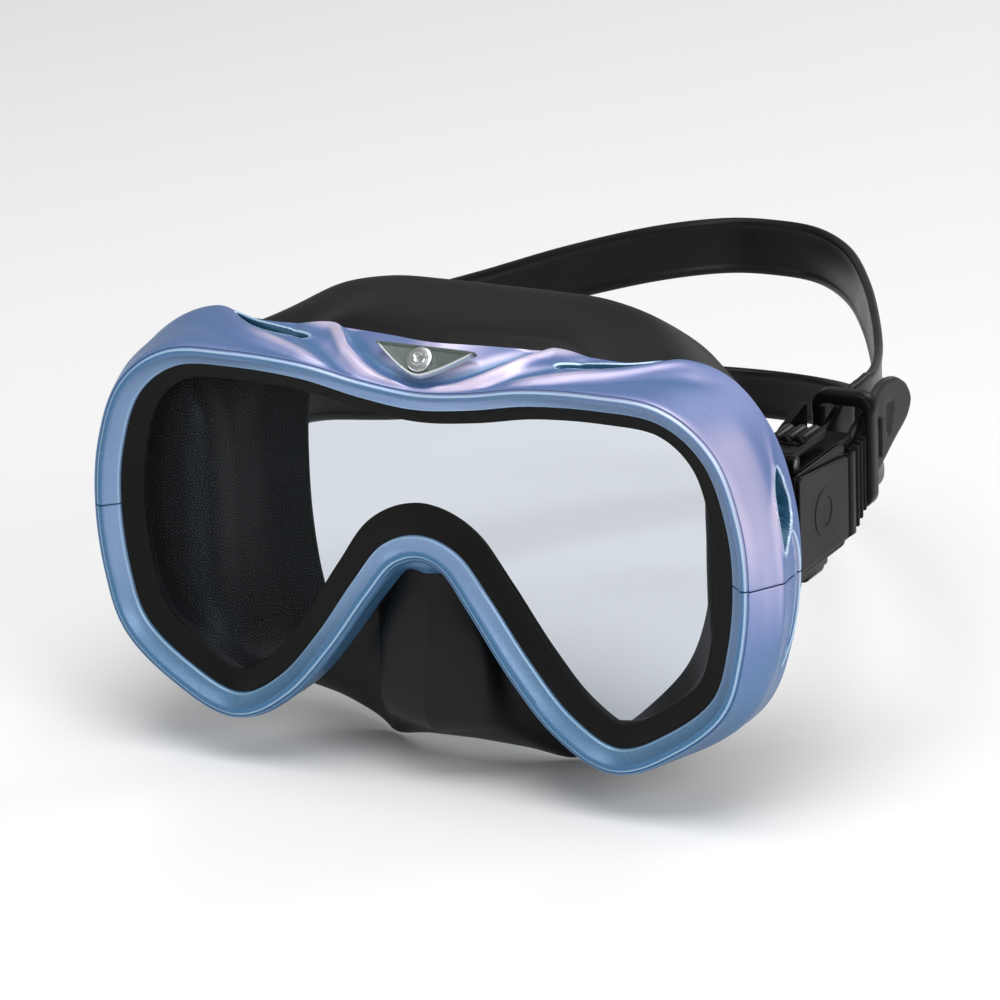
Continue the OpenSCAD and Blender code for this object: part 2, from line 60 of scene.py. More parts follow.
def to_row(points):
    """Points in millimetres from the front rim plane, as metres in the row frame."""
    p = np.asarray(points, float)
    return (p - np.array([0.0, SEAL_DEPTH, 0.0])) * MM


def blend4(a, b, c, d, u):
    return 0.5 * (2 * b + (c - a) * u + (2 * a - 5 * b + 4 * c - d) * u * u
                  + (3 * b - a - 3 * c + d) * u ** 3)


def along(rows, t):
    """Values at places t on a smooth curve through rows of [place, value]; flat beyond both ends."""
    t = np.atleast_1d(np.asarray(t, float))
    place = np.array([r[0] for r in rows], float)
    value = np.array([r[1] for r in rows], float)
    i = np.clip(np.searchsorted(place, t, side="right") - 1, 0, len(rows) - 2)
    u = np.clip((t - place[i]) / (place[i + 1] - place[i]), 0, 1)
    if value.ndim > 1:
        u = u[:, None]
    last = len(rows) - 1
    return blend4(value[np.maximum(i - 1, 0)], value[i], value[i + 1],
                  value[np.minimum(i + 2, last)], u)


def resample(points, count):
    """A smooth curve through points (n, k, 3 or 2) along axis 1, with count samples by chord length."""
    p = np.asarray(points, float)
    chord = np.linalg.norm(np.diff(p, axis=1), axis=2).mean(0)
    place = np.concatenate([[0], np.cumsum(np.sqrt(chord))])
    s = np.linspace(0, place[-1], count)
    i = np.clip(np.searchsorted(place, s, side="right") - 1, 0, len(place) - 2)
    u = ((s - place[i]) / (place[i + 1] - place[i]))[None, :, None]
    last = len(place) - 1
    return blend4(p[:, np.maximum(i - 1, 0)], p[:, i], p[:, i + 1], p[:, np.minimum(i + 2, last)], u)


def step_up(x, low, high):
    """A soft step from 0 below low to 1 above high."""
    u = np.clip((np.asarray(x, float) - low) / (high - low), 0, 1)
    return u * u * (3 - 2 * u)


def bump(x, width):
    return np.exp(-(np.asarray(x, float) / width) ** 2)


def link(name, mesh):
    obj = bpy.data.objects.new(name, mesh)
    bpy.context.scene.collection.objects.link(obj)
    return obj


def finish_mesh(obj, sharp_deg):
    mesh = obj.data
    bm = bmesh.new()
    bm.from_mesh(mesh)
    bmesh.ops.remove_doubles(bm, verts=bm.verts, dist=1e-7)
    bmesh.ops.recalc_face_normals(bm, faces=bm.faces)
    bm.to_mesh(mesh)
    bm.free()
    mesh.shade_smooth()
    mesh.set_sharp_from_angle(angle=math.radians(sharp_deg))
    return obj


def grid_object(name, grid, close_u=False, cap=False, attrs=None, sharp_deg=38.0):
    """A skin over a grid of points (u, v, 3) in millimetres from the rim plane."""
    nu, nv = grid.shape[:2]
    index = np.arange(nu * nv).reshape(nu, nv)
    rows = index if not close_u else np.vstack([index, index[:1]])
    cols = np.hstack([rows, rows[:, :1]])
    quads = np.stack([cols[:-1, :-1], cols[1:, :-1], cols[1:, 1:], cols[:-1, 1:]], -1).reshape(-1, 4)
    faces = quads.tolist()
    if cap:
        faces += [index[0].tolist()[::-1], index[-1].tolist()]
    mesh = bpy.data.meshes.new(name)
    mesh.from_pydata(to_row(grid.reshape(-1, 3)).tolist(), [], faces)
    for key, values in (attrs or {}).items():
        layer = mesh.attributes.new(key, "FLOAT", "POINT")
        layer.data.foreach_set("value", np.asarray(values, np.float32).reshape(-1))
    mesh.update()
    return finish_mesh(link(name, mesh), sharp_deg)


def bridge(bm, a, b):
    """Faces between two rings of points."""
    for j in range(len(a)):
        k = (j + 1) % len(a)
        bm.faces.new([a[j], a[k], b[k], b[j]])


def object_from(bm, name, sharp_deg):
    bmesh.ops.recalc_face_normals(bm, faces=bm.faces)
    mesh = bpy.data.meshes.new(name)
    bm.to_mesh(mesh)
    bm.free()
    mesh.shade_smooth()
    mesh.set_sharp_from_angle(angle=math.radians(sharp_deg))
    return link(name, mesh)


def use(obj, material, body, *replaced, slot):
    """Gives a piece its material and body, and hides the CAD nodes it stands for."""
    obj.data.materials.append(material)
    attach(obj, body)
    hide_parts(*replaced)


# ---- outline of the lens opening ----------------------------------------------------------

HALF_OUTLINE = np.array([
    [0, 32.5], [13, 33.8], [27, 36.3], [43, 37.1], [57, 35.9], [66.8, 28.5], [71.6, 16], [73, 2.7],
    [71.6, -11.5], [67.8, -23.2], [57.5, -32.1], [45.7, -37.2], [35, -31.6], [25.5, -20.8],
    [16.3, -7.7], [9, 1.3], [0, 4.4]])
SEAM = 7  # place of the joint between the frame halves; 0 is the top centre, ARCH the nose arch
ARCH = len(HALF_OUTLINE) - 1
TRIP = 2 * ARCH
OUTLINE = np.vstack([HALF_OUTLINE, HALF_OUTLINE[-2:0:-1] * [-1, 1]])


def outline(t):
    i = np.floor(t).astype(int)
    u = (t - i)[:, None]
    return blend4(*(OUTLINE[(i + k) % TRIP] for k in (-1, 0, 1, 2)), u)


def outward(t):
    d = outline(t + 0.25) - outline(t - 0.25)
    d /= np.linalg.norm(d, axis=1, keepdims=True)
    return np.stack([-d[:, 1], d[:, 0]], 1)


def fold(t):
    """Places counted from the top centre, the same on both sides."""
    w = np.mod(t, TRIP)
    return np.where(w > ARCH, TRIP - w, w)


def rim_points(t, off, y):
    """Points (len(t), k, 3) at distances off outside the opening and depths y, both (len(t), k)."""
    base, out = outline(t), outward(t)
    return np.stack([base[:, None, 0] + out[:, None, 0] * off, y,
                     base[:, None, 1] + out[:, None, 1] * off], -1)


# ---- frame: section tables, the same as in the CAD source ----------------------------------

BEZEL_Y, LIP_BACK, SEAT_OFF, SEAT_BACK, WALL = 2.0, 4.8, 3.0, 9.0, 2.0
CREST_OFF = [[0, 2.6], [4, 3.5], [7, 3.6], [11, 3.6], [14, 4], [16, 4.1]]
CREST_Y = [[0, 2.6], [1, 1.7], [2, 0.6], [3.2, -0.6], [5, -0.6], [11.5, -0.6], [13, -0.3],
           [15, 0.9], [16, 1.6]]
SHOULDER_OFF = [[0, 5], [2, 4.9], [4, 5.2], [7, 6.5], [11, 4.8], [13, 4.8], [16, 5.4]]
SHOULDER_Y = [[0, 4.8], [2, 3], [4, 2], [7, 2.5], [11, 2], [13, 1.5], [16, 2.8]]
RIDGE_OFF = [[0, 8.8], [2, 6.6], [4, 6.6], [5, 7.8], [7, 9], [9, 7.8], [11, 5.6], [13, 5.2],
             [16, 7.4]]
RIDGE_Y = [[0, 7.7], [2, 9.5], [4, 12], [5, 9], [7, 7.5], [9, 7], [11, 6.5], [13, 5], [16, 3.6]]
BACK_OFF = [[0, 12.2], [1, 10.4], [2, 7.4], [3, 6.6], [4, 8.2], [5, 9], [7, 9.1], [9, 8],
            [11, 6], [13, 5.6], [15, 7.4], [16, 9.2]]
BACK_Y = [[0, 11.5], [1, 14.5], [2, 17.2], [3, 16], [4, 20.7], [5, 18.5], [7, 16.6], [9, 15.2],
          [11, 13.6], [13, 11], [15, 6.4], [16, 5]]

# Lines of the brow's relief: [place, share of the way from the crest to the back edge]
RIDGE_IN = [[0, 0.05], [0.55, 0.12], [1.05, 0.26], [1.5, 0.48], [1.8, 0.80], [2, 1.0]]
VALLEY_IN = [[0, 0.24], [0.65, 0.34], [1.05, 0.50], [1.45, 0.74], [1.75, 0.98]]
VALLEY_MID = [[1.0, 0.04], [1.45, 0.20], [1.85, 0.38], [2.15, 0.54], [2.35, 0.70], [2.5, 0.9]]
RIDGE_OUT = [[1.2, 0.02], [1.6, 0.08], [2.1, 0.20], [2.65, 0.44], [3.25, 0.72], [3.75, 0.95]]
VALLEY_OUT = [[1.5, 0.02], [2.1, 0.08], [2.7, 0.2], [3.3, 0.42], [3.9, 0.62], [4.4, 0.8]]
# Slots, as outlines of [place, share]
BROW_SLOT = [[2.12, 0.62], [2.4, 0.56], [2.75, 0.63], [3.1, 0.78], [3.45, 0.95], [3.1, 0.95],
             [2.7, 0.86], [2.35, 0.76]]
SIDE_SLOT = [[5.48, 0.80], [5.7, 0.62], [6.0, 0.545], [6.35, 0.53], [6.62, 0.56], [6.45, 0.70],
             [6.25, 0.82], [5.9, 0.86]]
SIDE_GROOVE = [[6.38, 0.80], [6.8, 0.84], [7.35, 0.86], [7.9, 0.85], [8.35, 0.82], [8.0, 0.92],
               [7.4, 0.955], [6.8, 0.94], [6.5, 0.88]]
# Ridges and valleys of the brow: height, line, half width, first and last place, fade
BROW_RELIEF = [(1.15, RIDGE_IN, 0.15, 0.0, 2.3, 0.3), (-1.05, VALLEY_IN, 0.17, -0.4, 1.65, 0.3),
               (-0.75, VALLEY_MID, 0.12, 1.2, 2.5, 0.3), (0.85, RIDGE_OUT, 0.11, 1.7, 3.8, 0.35),
               (-0.45, VALLEY_OUT, 0.14, 2.0, 4.2, 0.4)]
# A soft edge that runs down the side in front of the slots
SIDE_EDGE = [[4.8, 0.98], [5.5, 0.74], [6, 0.52], [7, 0.50], [8.2, 0.6], [9, 0.8]]
SIDE_EDGE_RELIEF = (0.3, SIDE_EDGE, 0.06, 5.2, 8.4, 0.4)
# Slots: outline, depth, strength of the painted shade inside them
SLOTS = ((BROW_SLOT, 2.3, 1.0), (SIDE_SLOT, 2.8, 1.0), (SIDE_GROOVE, 1.0, 0.45))
SLOT_LIP, SLOT_LIP_AT, SLOT_LIP_WIDTH = 0.22, 0.28, 0.24
# Crest bead and the fine groove outside it, from the crest: [further out, further back, painted shadow
# in the groove]
BEAD = [(-0.52, -0.02, 0.9), (-0.25, -0.1, 1.0), (0.15, -0.1, 1.0), (0.45, -0.02, 0.6),
        (0.62, 0.2, 0.0), (0.74, 0.5, 0.5), (0.9, 0.6, 0.6), (1.12, 0.42, 0.2)]
PLACE_MM = 13.7  # length of the outline per place, for distances on the wall
MEAN_WALL = 15.0


def outline_distance(t, v, length, shape):
    """Signed distance in millimetres from a closed outline on the wall, below zero inside it."""
    pts = np.array(shape, float)
    fine = [blend4(*(pts[(i + k) % len(pts)] for k in (-1, 0, 1, 2)), u)
            for i in range(len(pts)) for u in (0.0, 0.25, 0.5, 0.75)]
    a = np.array(fine) * [PLACE_MM, length]
    q = np.stack([t * PLACE_MM, v * length], -1)
    best = np.full(t.shape, 1e9)
    inside = np.zeros(t.shape, bool)
    for p0, p1 in zip(a, np.roll(a, -1, 0)):
        d = p1 - p0
        n = max(d @ d, 1e-12)
        u = np.clip(((q - p0) @ d) / n, 0, 1)
        best = np.minimum(best, np.linalg.norm(q - p0 - u[..., None] * d, axis=-1))
        cross = ((p0[1] > q[..., 1]) != (p1[1] > q[..., 1]))
        x = p0[0] + (q[..., 1] - p0[1]) / (d[1] if abs(d[1]) > 1e-9 else 1e-9) * d[0]
        inside ^= cross & (q[..., 0] < x)
    return np.where(inside, -best, best)


def line_bump(f, v, rows, width, first, last, soft=0.35):
    """A ridge along a line on the wall, fading out at both ends."""
    v0 = along(rows, f[:, 0])[:, None]
    fade = step_up(f, first - soft, first + soft) * (1 - step_up(f, last - soft, last + soft))
    return bump(v - v0, width) * fade


WALL_STEPS = 56
BAND_STEPS = 9


def eased(x):
    """Nearly x, but level at nothing, so that both sides meet without a crease."""
    return x ** 3 / (x ** 2 + 0.35 ** 2)


def frame_grid(t):
    """Section points (len(t), k, 3) of the frame with its relief, and per-point paint weights."""
    f = fold(t)
    f = np.where(f < ARCH / 2, eased(f), ARCH - eased(ARCH - f))
    n = len(t)

    def row(*cells):
        return np.stack([np.broadcast_to(np.asarray(c, float), (n,)) for c in cells], 1)

    co, cy = along(CREST_OFF, f), along(CREST_Y, f)
    so, sy = along(SHOULDER_OFF, f), along(SHOULDER_Y, f)
    ro, ry = along(RIDGE_OFF, f), along(RIDGE_Y, f)
    bo, by = along(BACK_OFF, f), along(BACK_Y, f)
    # inner band, a shallow hollow between the opening and the crest bead
    u = np.linspace(0, 1, BAND_STEPS)[None, :]
    band_off = 0.18 + u * (co[:, None] - 0.95)
    band_y = BEZEL_Y - 0.12 + u * (cy[:, None] + 0.12 - BEZEL_Y) + 0.22 * np.sin(math.pi * u)
    # crest bead and the fine groove outside it
    bead_off = row(*(co + out for out, _, _ in BEAD))
    bead_y = row(*(cy + back for _, back, _ in BEAD))
    # outer wall as a smooth curve
    so2 = np.maximum(so, co + 1.9)
    key = np.stack([row(co + 1.3, so2, ro, (ro + bo) / 2, bo),
                    row(cy + 0.38, sy, ry, (ry + by) / 2, by)], -1)
    wall = resample(key, WALL_STEPS)
    run = np.linalg.norm(np.diff(wall, axis=1), axis=2).cumsum(1)
    v = np.hstack([np.zeros((n, 1)), run / run[:, -1:]])
    d = np.gradient(wall, axis=1)
    d /= np.linalg.norm(d, axis=2, keepdims=True)
    normal = np.stack([d[..., 1], -d[..., 0]], -1)  # away from the seat
    ff = f[:, None] * np.ones((1, WALL_STEPS))
    h = 0.0
    for high, *line in BROW_RELIEF:
        h = h + high * line_bump(ff, v, *line)
    h *= step_up(v, 0.0, 0.1)
    high, *line = SIDE_EDGE_RELIEF
    h += high * line_bump(ff, v, *line)
    slot = np.full(v.shape, 9.0)
    depth, slot_shade = np.zeros(v.shape), np.ones(v.shape)
    # each slot also gives the strength of the painted shade inside it
    for shape, deep, shade_strength in SLOTS:
        near = outline_distance(ff, v, MEAN_WALL, shape)
        depth += deep * (1 - step_up(near, -0.8, 0.02))
        slot_shade = np.where(near < slot, shade_strength, slot_shade)
        slot = np.minimum(slot, near)
    h += SLOT_LIP * bump(slot - SLOT_LIP_AT, SLOT_LIP_WIDTH)
    h -= depth
    h *= 1 - 0.85 * step_up(v, 0.985, 1.0) * (depth < 0.2)
    wall = wall + normal * h[..., None]
    # back edge rolls over to the inside
    back_off = row(bo - 0.35, bo - 1.0, bo - WALL, (bo - WALL + SEAT_OFF) / 2, SEAT_OFF, SEAT_OFF,
                   0.0, 0.0)
    back_y = row(by + 0.3, by + 0.42, by + 0.3, (by + 0.3 + SEAT_BACK) / 2, SEAT_BACK, LIP_BACK,
                 LIP_BACK, BEZEL_Y + 0.15)
    off = np.hstack([band_off, bead_off, wall[..., 0], back_off])
    y = np.hstack([band_y, bead_y, wall[..., 1], back_y])
    zeros = np.zeros_like(off)
    in_band, groove, shade, edge = (zeros.copy() for _ in range(4))
    in_band[:, :BAND_STEPS] = 1.0
    in_band[:, -2:] = 1.0
    first = BAND_STEPS + len(BEAD)
    # weights of the painted shadow in the fine groove outside the crest bead
    groove[:, BAND_STEPS - 1] = 0.5
    groove[:, BAND_STEPS:first] = [shade_strength for _, _, shade_strength in BEAD]
    shade[:, first:first + WALL_STEPS] = slot_shade
    rim = zeros + 4.0
    rim[:, first:first + WALL_STEPS] = np.clip(slot, -2, 4)
    # weights of the painted highlight on the crest bead and on the opening's edge
    edge[:, BAND_STEPS + 3:BAND_STEPS + 5] = [0.9, 0.5]
    edge[:, 0] = 0.5
    relief = zeros.copy()
    relief[:, first:first + WALL_STEPS] = h + depth
    return rim_points(t, off, y), {"band": in_band, "groove": groove, "shade": shade, "slot": rim,
                                   "edge": edge, "relief": relief}


SEAM_HALF = 0.15 / 14  # half of the gap at the joint, in places
PLACES = 30  # sections per place
END_STEP, END_ROUND = 0.006, 0.018  # a hair of rounding at both cut ends


def frame_half(name, first, last):
    n = int(round((last - first) * PLACES)) + 1
    t = np.linspace(first, last, n)
    t = np.concatenate([[first], t[:1] + END_STEP, t[1:-1], t[-1:] - END_STEP, [last]])
    grid, weights = frame_grid(t)
    for end, inner in ((0, 1), (-1, -2)):
        centre = grid[inner].mean(0)
        grid[end] += (centre - grid[inner]) * END_ROUND
    return grid_object(name, grid, cap=True, attrs=weights, sharp_deg=42)


# ---- skirt: rings, the same as in the CAD source -------------------------------------------

# Each row is [place, [x, y, z]], from the top centre to the nose
WAIST = [[0, [0, 22, 45.6]], [1, [13, 22.5, 45.8]], [2, [27, 24, 44.6]], [3, [41, 24, 38.6]],
         [4, [56, 24.5, 35.4]], [5, [66.5, 23.5, 30]], [6, [62, 19.6, 19]], [7, [61.5, 19.5, 4]],
         [8, [61.5, 19.5, -10.5]], [9, [61.5, 20, -24.5]], [10, [56, 20.5, -34]],
         [11, [43.5, 20, -39]], [12, [31, 16.5, -37.5]], [13.5, [15.6, 12.6, -27]],
         [15, [11.6, 6.2, -21]], [16, [0, 4, -20]]]
POUCH = [[0, [0, 34, 47.2]], [1, [13, 34, 47.4]], [2, [26, 34.5, 46.6]], [3, [38.5, 35, 43.4]],
         [4, [52.5, 34.5, 38]], [5, [65, 32.5, 31]], [6, [60.8, 28.5, 18]], [7, [59.6, 28.5, 5]],
         [8, [59.4, 28.5, -10]], [9, [58, 28, -24.5]], [10, [52, 28, -35]],
         [11, [41, 26.5, -41.5]], [12, [29, 21, -42]], [13.5, [16.6, 15, -37]],
         [15, [12, 6.6, -36]], [16, [0, 3, -37.4]]]
CHEEK = [[0, [0, 44.6, 48]], [1, [13, 44.6, 48]], [2, [26, 44.2, 47.6]], [3, [38.5, 43.6, 44.6]],
         [4, [48.5, 46.5, 37.4]], [5, [55.5, 46, 28]], [6, [58.5, 41, 18]], [7, [57, 38, 5]],
         [8, [56.4, 38, -10]], [9, [54, 37, -24.5]], [10, [48.5, 36, -36]],
         [11, [38.5, 33, -43.5]], [12, [28.5, 26, -45.8]], [13.5, [19, 20, -45]],
         [15, [12, 13.5, -42.4]], [16, [0, 12, -43.6]]]
SEAL = [[0, [0, 46, 44]], [1, [13, 46, 43.6]], [2, [22, 46.2, 42.6]], [3, [33, 47.5, 39.6]],
        [4, [42.5, 50, 32.6]], [5, [49, 50, 23.5]], [6, [50.5, 47.5, 14]], [7, [50, 45.4, 3]],
        [8, [49.4, 45, -10]], [9, [47.5, 44.6, -23]], [10, [43.5, 43, -33.5]],
        [11, [35.5, 39.5, -43]], [12, [28, 34, -49.4]], [13.5, [22, 29.5, -52.4]],
        [15, [12, 27, -50.6]], [16, [0, 26.4, -50]]]
BROW = [[13.5, [16, 12.2, -18.5]], [15, [7.6, 7.4, -9]], [16, [0, 6.6, -8.2]]]
BROW_START, BROW_FROM = 12, 13.5
SKIRT_T = 1.8
RING_STEPS = 12  # sections of the skirt and the gasket per place
# How far the black gasket covers the front of the glass
GASKET_IN = [[0, 3.4], [4, 3.6], [6, 4.6], [8, 4.8], [11, 4.6], [14, 5.4], [16, 6.6]]
GASKET_FRONT, GASKET_LIP, GASKET_BACK, GASKET_GAP = 2.5, 4.2, 4.8, 0.12


def ring(rows, t):
    f = fold(t)
    p = along(rows, f)
    p[:, 0] *= np.where(np.mod(t, TRIP) > ARCH, -1, 1)
    return p


def skirt_keys(t):
    f = fold(t)
    one = np.ones((len(t), 1))
    bo, by = along(BACK_OFF, f) - WALL, along(BACK_Y, f)
    tuck = rim_points(t, (SEAT_OFF + (bo - SEAT_OFF) * 0.8 - 0.5)[:, None],
                      (SEAT_BACK + (by - SEAT_BACK) * 0.8 + 1.2)[:, None])[:, 0]
    waist, brow, low = ring(WAIST, t), ring(BROW, t), ring(BROW, np.full(1, BROW_FROM))[0]
    low = np.abs(low) * [1, 1, -1]
    sign = np.where(np.mod(t, TRIP) > ARCH, -1, 1)[:, None]
    low = np.hstack([low[0] * sign, low[1] * one, low[2] * one])
    mid = (tuck + waist) / 2
    share = ((f - BROW_START) / (BROW_FROM - BROW_START))[:, None]
    between = mid + (low - mid) * share
    brow = np.where((f < BROW_START)[:, None], mid, np.where((f > BROW_FROM)[:, None], brow, between))
    front = rim_points(t, one * -2.2, one * SEAT_BACK)[:, 0]
    flange = rim_points(t, one * 2, one * SEAT_BACK)[:, 0]
    return [front, flange, tuck, brow, waist, ring(POUCH, t), ring(CHEEK, t), ring(SEAL, t)]


def skirt_surface(t, per=9):
    """Outer surface of the skirt as rows of points, sharp at the lens flange and smooth behind it."""
    k = skirt_keys(t)
    flat = np.stack([k[0] + (k[1] - k[0]) * u for u in (0, 0.5, 0.94)], 1)
    curve = resample(np.stack(k[1:], 1), per * (len(k) - 1))
    return np.concatenate([flat, curve[:, 1:]], 1)


def skirt_object():
    t = np.arange(0, TRIP, 1 / RING_STEPS)
    outer = skirt_surface(t)
    down = np.gradient(outer, axis=1)
    across = np.roll(outer, -2, 0) - np.roll(outer, 2, 0)
    normal = np.cross(down, across)
    normal /= np.maximum(np.linalg.norm(normal, axis=2, keepdims=True), 1e-9)
    count = outer.shape[1]
    thick = np.full((1, count, 1), SKIRT_T)
    thick[0, -10:, 0] = np.linspace(SKIRT_T, 0.9, 10)
    inner = outer + normal * thick
    # the lip rolls over in a round edge
    onward = down[:, -1:] / np.linalg.norm(down[:, -1:], axis=2, keepdims=True)
    lip = (outer[:, -1:] + inner[:, -1:]) / 2 + onward * 0.45
    nose = (outer[:, :1] + inner[:, :1]) / 2
    grid = np.concatenate([nose, outer, lip, inner[:, ::-1]], 1)
    return grid_object("mask_skirt", grid, close_u=True, sharp_deg=60)


def gasket_object():
    t = np.arange(0, TRIP, 1 / RING_STEPS)
    reach = -along(GASKET_IN, fold(t))[:, None]
    u = np.array([0.0, 0.03, 0.1, 0.3, 0.55, 0.78, 0.93, 0.985, 1.0])[None, :]
    off = np.hstack([reach + (-GASKET_GAP - reach) * u, reach * 0 - GASKET_GAP, reach])
    face = GASKET_LIP + (GASKET_FRONT - GASKET_LIP) * u + 0.28 * np.sin(math.pi * u)
    face[:, 0] += 0.25
    face[:, -1] += 0.3
    y = np.hstack([face + reach * 0, reach * 0 + GASKET_BACK, reach * 0 + GASKET_BACK])
    return grid_object("lens_gasket_ring", rim_points(t, off, y), close_u=True, sharp_deg=60)


# ---- materials ----------------------------------------------------------------------------

class Tree:
    """A short way to write a node tree."""

    def __init__(self, name):
        self.mat = bpy.data.materials.new(name)
        self.mat.use_nodes = True
        self.tree = self.mat.node_tree
        self.tree.nodes.clear()
        self.out = self.tree.nodes.new("ShaderNodeOutputMaterial")

    def put(self, value, socket):
        if isinstance(value, bpy.types.NodeSocket):
            self.tree.links.new(value, socket)
        elif value is not None:
            if hasattr(socket.default_value, "__len__") and not hasattr(value, "__len__"):
                value = [value] * len(socket.default_value)
            if hasattr(value, "__len__") and len(value) == 3 and len(socket.default_value) == 4:
                value = (*value, 1.0)
            socket.default_value = value

    def node(self, kind, inputs=None, out=0, **props):
        n = self.tree.nodes.new("ShaderNode" + kind)
        for key, value in props.items():
            setattr(n, key, value)
        for key, value in (inputs or {}).items():
            self.put(value, n.inputs[key])
        return n.outputs[out]

    def attr(self, name):
        return self.node("Attribute", out=2, attribute_name=name)

    def place(self):
        return self.node("TexCoord", out=3)

    def normal(self):
        return self.node("TexCoord", out=1)

    def math(self, op, a, b=0.0):
        return self.node("Math", {0: a, 1: b}, operation=op)

    def remap(self, x, low, high, to_low=0.0, to_high=1.0):
        return self.node("MapRange", {0: x, 1: low, 2: high, 3: to_low, 4: to_high},
                         interpolation_type="SMOOTHSTEP")

    def mix(self, fac, a, b):
        n = self.tree.nodes.new("ShaderNodeMix")
        n.data_type = "RGBA"
        self.put(fac, n.inputs[0])
        self.put(a, n.inputs[6])
        self.put(b, n.inputs[7])
        return n.outputs[2]

    def noise(self, scale, detail, stretch=None):
        where = self.place()
        if stretch:
            where = self.node("Mapping", {0: where, 3: stretch})
        return self.node("TexNoise", {"Vector": where, "Scale": scale, "Detail": detail})

    def axis(self, vector, which):
        return self.node("SeparateXYZ", {0: vector}, out=which)

    def bump(self, height, strength, distance):
        return self.node("Bump", {"Height": height, "Strength": strength, "Distance": distance})

    def surface(self, **sockets):
        n = self.tree.nodes.new("ShaderNodeBsdfPrincipled")
        for key, value in sockets.items():
            self.put(value, n.inputs[key.replace("_", " ")])
        self.tree.links.new(n.outputs[0], self.out.inputs[0])
        return self.mat


SHADE_TEAL, STEEL_BLUE, PERIWINKLE = (0.020, 0.105, 0.225), (0.085, 0.195, 0.350), (0.085, 0.165, 0.385)
VALLEY_SHADE = (0.040, 0.165, 0.330)
HIGHLIGHT_LILAC, HIGHLIGHT_PINK, HIGHLIGHT_ICE = (0.33, 0.35, 0.62), (0.72, 0.62, 0.78), (0.45, 0.66, 0.84)
BAND_LOW, BAND_HIGH, GROOVE_SHADE_BLUE = (0.060, 0.155, 0.270), (0.165, 0.270, 0.450), (0.02, 0.12, 0.25)
PIT_SHADE_SIDE, PIT_SHADE_FRONT, FLAKE = (0.003, 0.016, 0.032), (0.010, 0.070, 0.140), (0.62, 0.66, 0.88)


def pearl():
    """Pearl paint: steel blue on the sides, periwinkle above, with a painted lilac to pink highlight
    where it faces forwards, painted highlights on ridges and lips, and painted shade on downward faces,
    valleys, grooves and slots.
    """
    m = Tree("pearl_blue")
    place, normal = m.place(), m.normal()
    up, fwd, side = m.axis(normal, 2), m.axis(normal, 1), m.axis(normal, 0)
    across, height = m.axis(place, 0), m.axis(place, 2)
    cloud = m.noise(30.0, 3.0)
    # the sides and the lobes are steel blue, the brow and the upper corners periwinkle
    warm = m.math("ADD", m.math("MULTIPLY", height, 18.0), m.math("MULTIPLY", across, 6.0))
    warm = m.math("ADD", warm, m.math("MULTIPLY", m.math("SUBTRACT", cloud, 0.5), 0.9))
    base = m.mix(m.remap(warm, -0.5, 0.9), STEEL_BLUE, PERIWINKLE)
    # painted highlight: lilac, then pink, where the surface faces forwards, up and to the right towards
    # the lights, stronger on the periwinkle parts
    front = m.math("ADD", m.math("MULTIPLY", fwd, -0.80), m.math("MULTIPLY", up, 0.34))
    front = m.math("ADD", front, m.math("MULTIPLY", side, 0.40))
    lilac_highlight = m.math("MULTIPLY", m.remap(front, 0.40, 0.90), m.remap(warm, 0.1, 0.8, 0.08, 0.95))
    base = m.mix(lilac_highlight, base, HIGHLIGHT_LILAC)
    pink_highlight = m.math("MULTIPLY", m.remap(front, 0.62, 0.90), m.remap(warm, 0.3, 1.0, 0.0, 0.85))
    base = m.mix(pink_highlight, base, HIGHLIGHT_PINK)
    # painted highlight: pink along the raised ridges of the relief, strongest near the middle
    middle = m.remap(m.math("ABSOLUTE", across), 0.034, 0.046, 0.72, 0.05)
    base = m.mix(m.math("MULTIPLY", m.remap(m.attr("relief"), 0.2, 0.95), middle), base, HIGHLIGHT_PINK)
    # painted shade: darker blue in the valleys of the relief
    base = m.mix(m.remap(m.attr("relief"), -0.15, -0.9, 0.0, 0.75), base, VALLEY_SHADE)
    # painted shade: teal on downward faces
    base = m.mix(m.remap(up, -0.1, -0.75, 0.0, 0.8), base, SHADE_TEAL)
    band = m.mix(m.remap(height, -0.034, -0.006), BAND_LOW, BAND_HIGH)
    base = m.mix(m.math("MULTIPLY", m.attr("band"), 0.9), base, band)
    # painted shadow: dark blue in the fine groove outside the crest bead
    base = m.mix(m.math("MULTIPLY", m.attr("groove"), 0.85), base, GROOVE_SHADE_BLUE)
    flake = m.noise(6000.0, 0.0)
    base = m.mix(m.remap(flake, 0.5, 0.8, 0.0, 0.14), base, FLAKE)
    # painted shade inside the slots: near black on the sides, a little lighter where the floor faces
    # forwards
    pit_shade = m.mix(m.remap(front, 0.1, 0.8), PIT_SHADE_SIDE, PIT_SHADE_FRONT)
    inside = m.math("MULTIPLY", m.remap(m.attr("slot"), 0.0, -0.08), m.attr("shade"))
    base = m.mix(inside, base, pit_shade)
    # painted highlight: pale ice blue along the slot lips, the crest bead and the opening's edge
    rim = m.math("MULTIPLY", m.remap(m.attr("slot"), -0.06, 0.0), m.remap(m.attr("slot"), 0.42, 0.22))
    rim = m.math("MAXIMUM", rim, m.attr("edge"))
    base = m.mix(m.math("MULTIPLY", rim, 0.85), base, HIGHLIGHT_ICE)
    rough = m.remap(m.noise(900.0, 2.0), 0.3, 0.7, 0.36, 0.44)
    return m.surface(Base_Color=base, Metallic=0.30, Roughness=rough, Coat_Weight=0.12,
                     Coat_Roughness=0.2, Specular_IOR_Level=0.42,
                     Normal=m.bump(flake, 0.03, 0.00004))


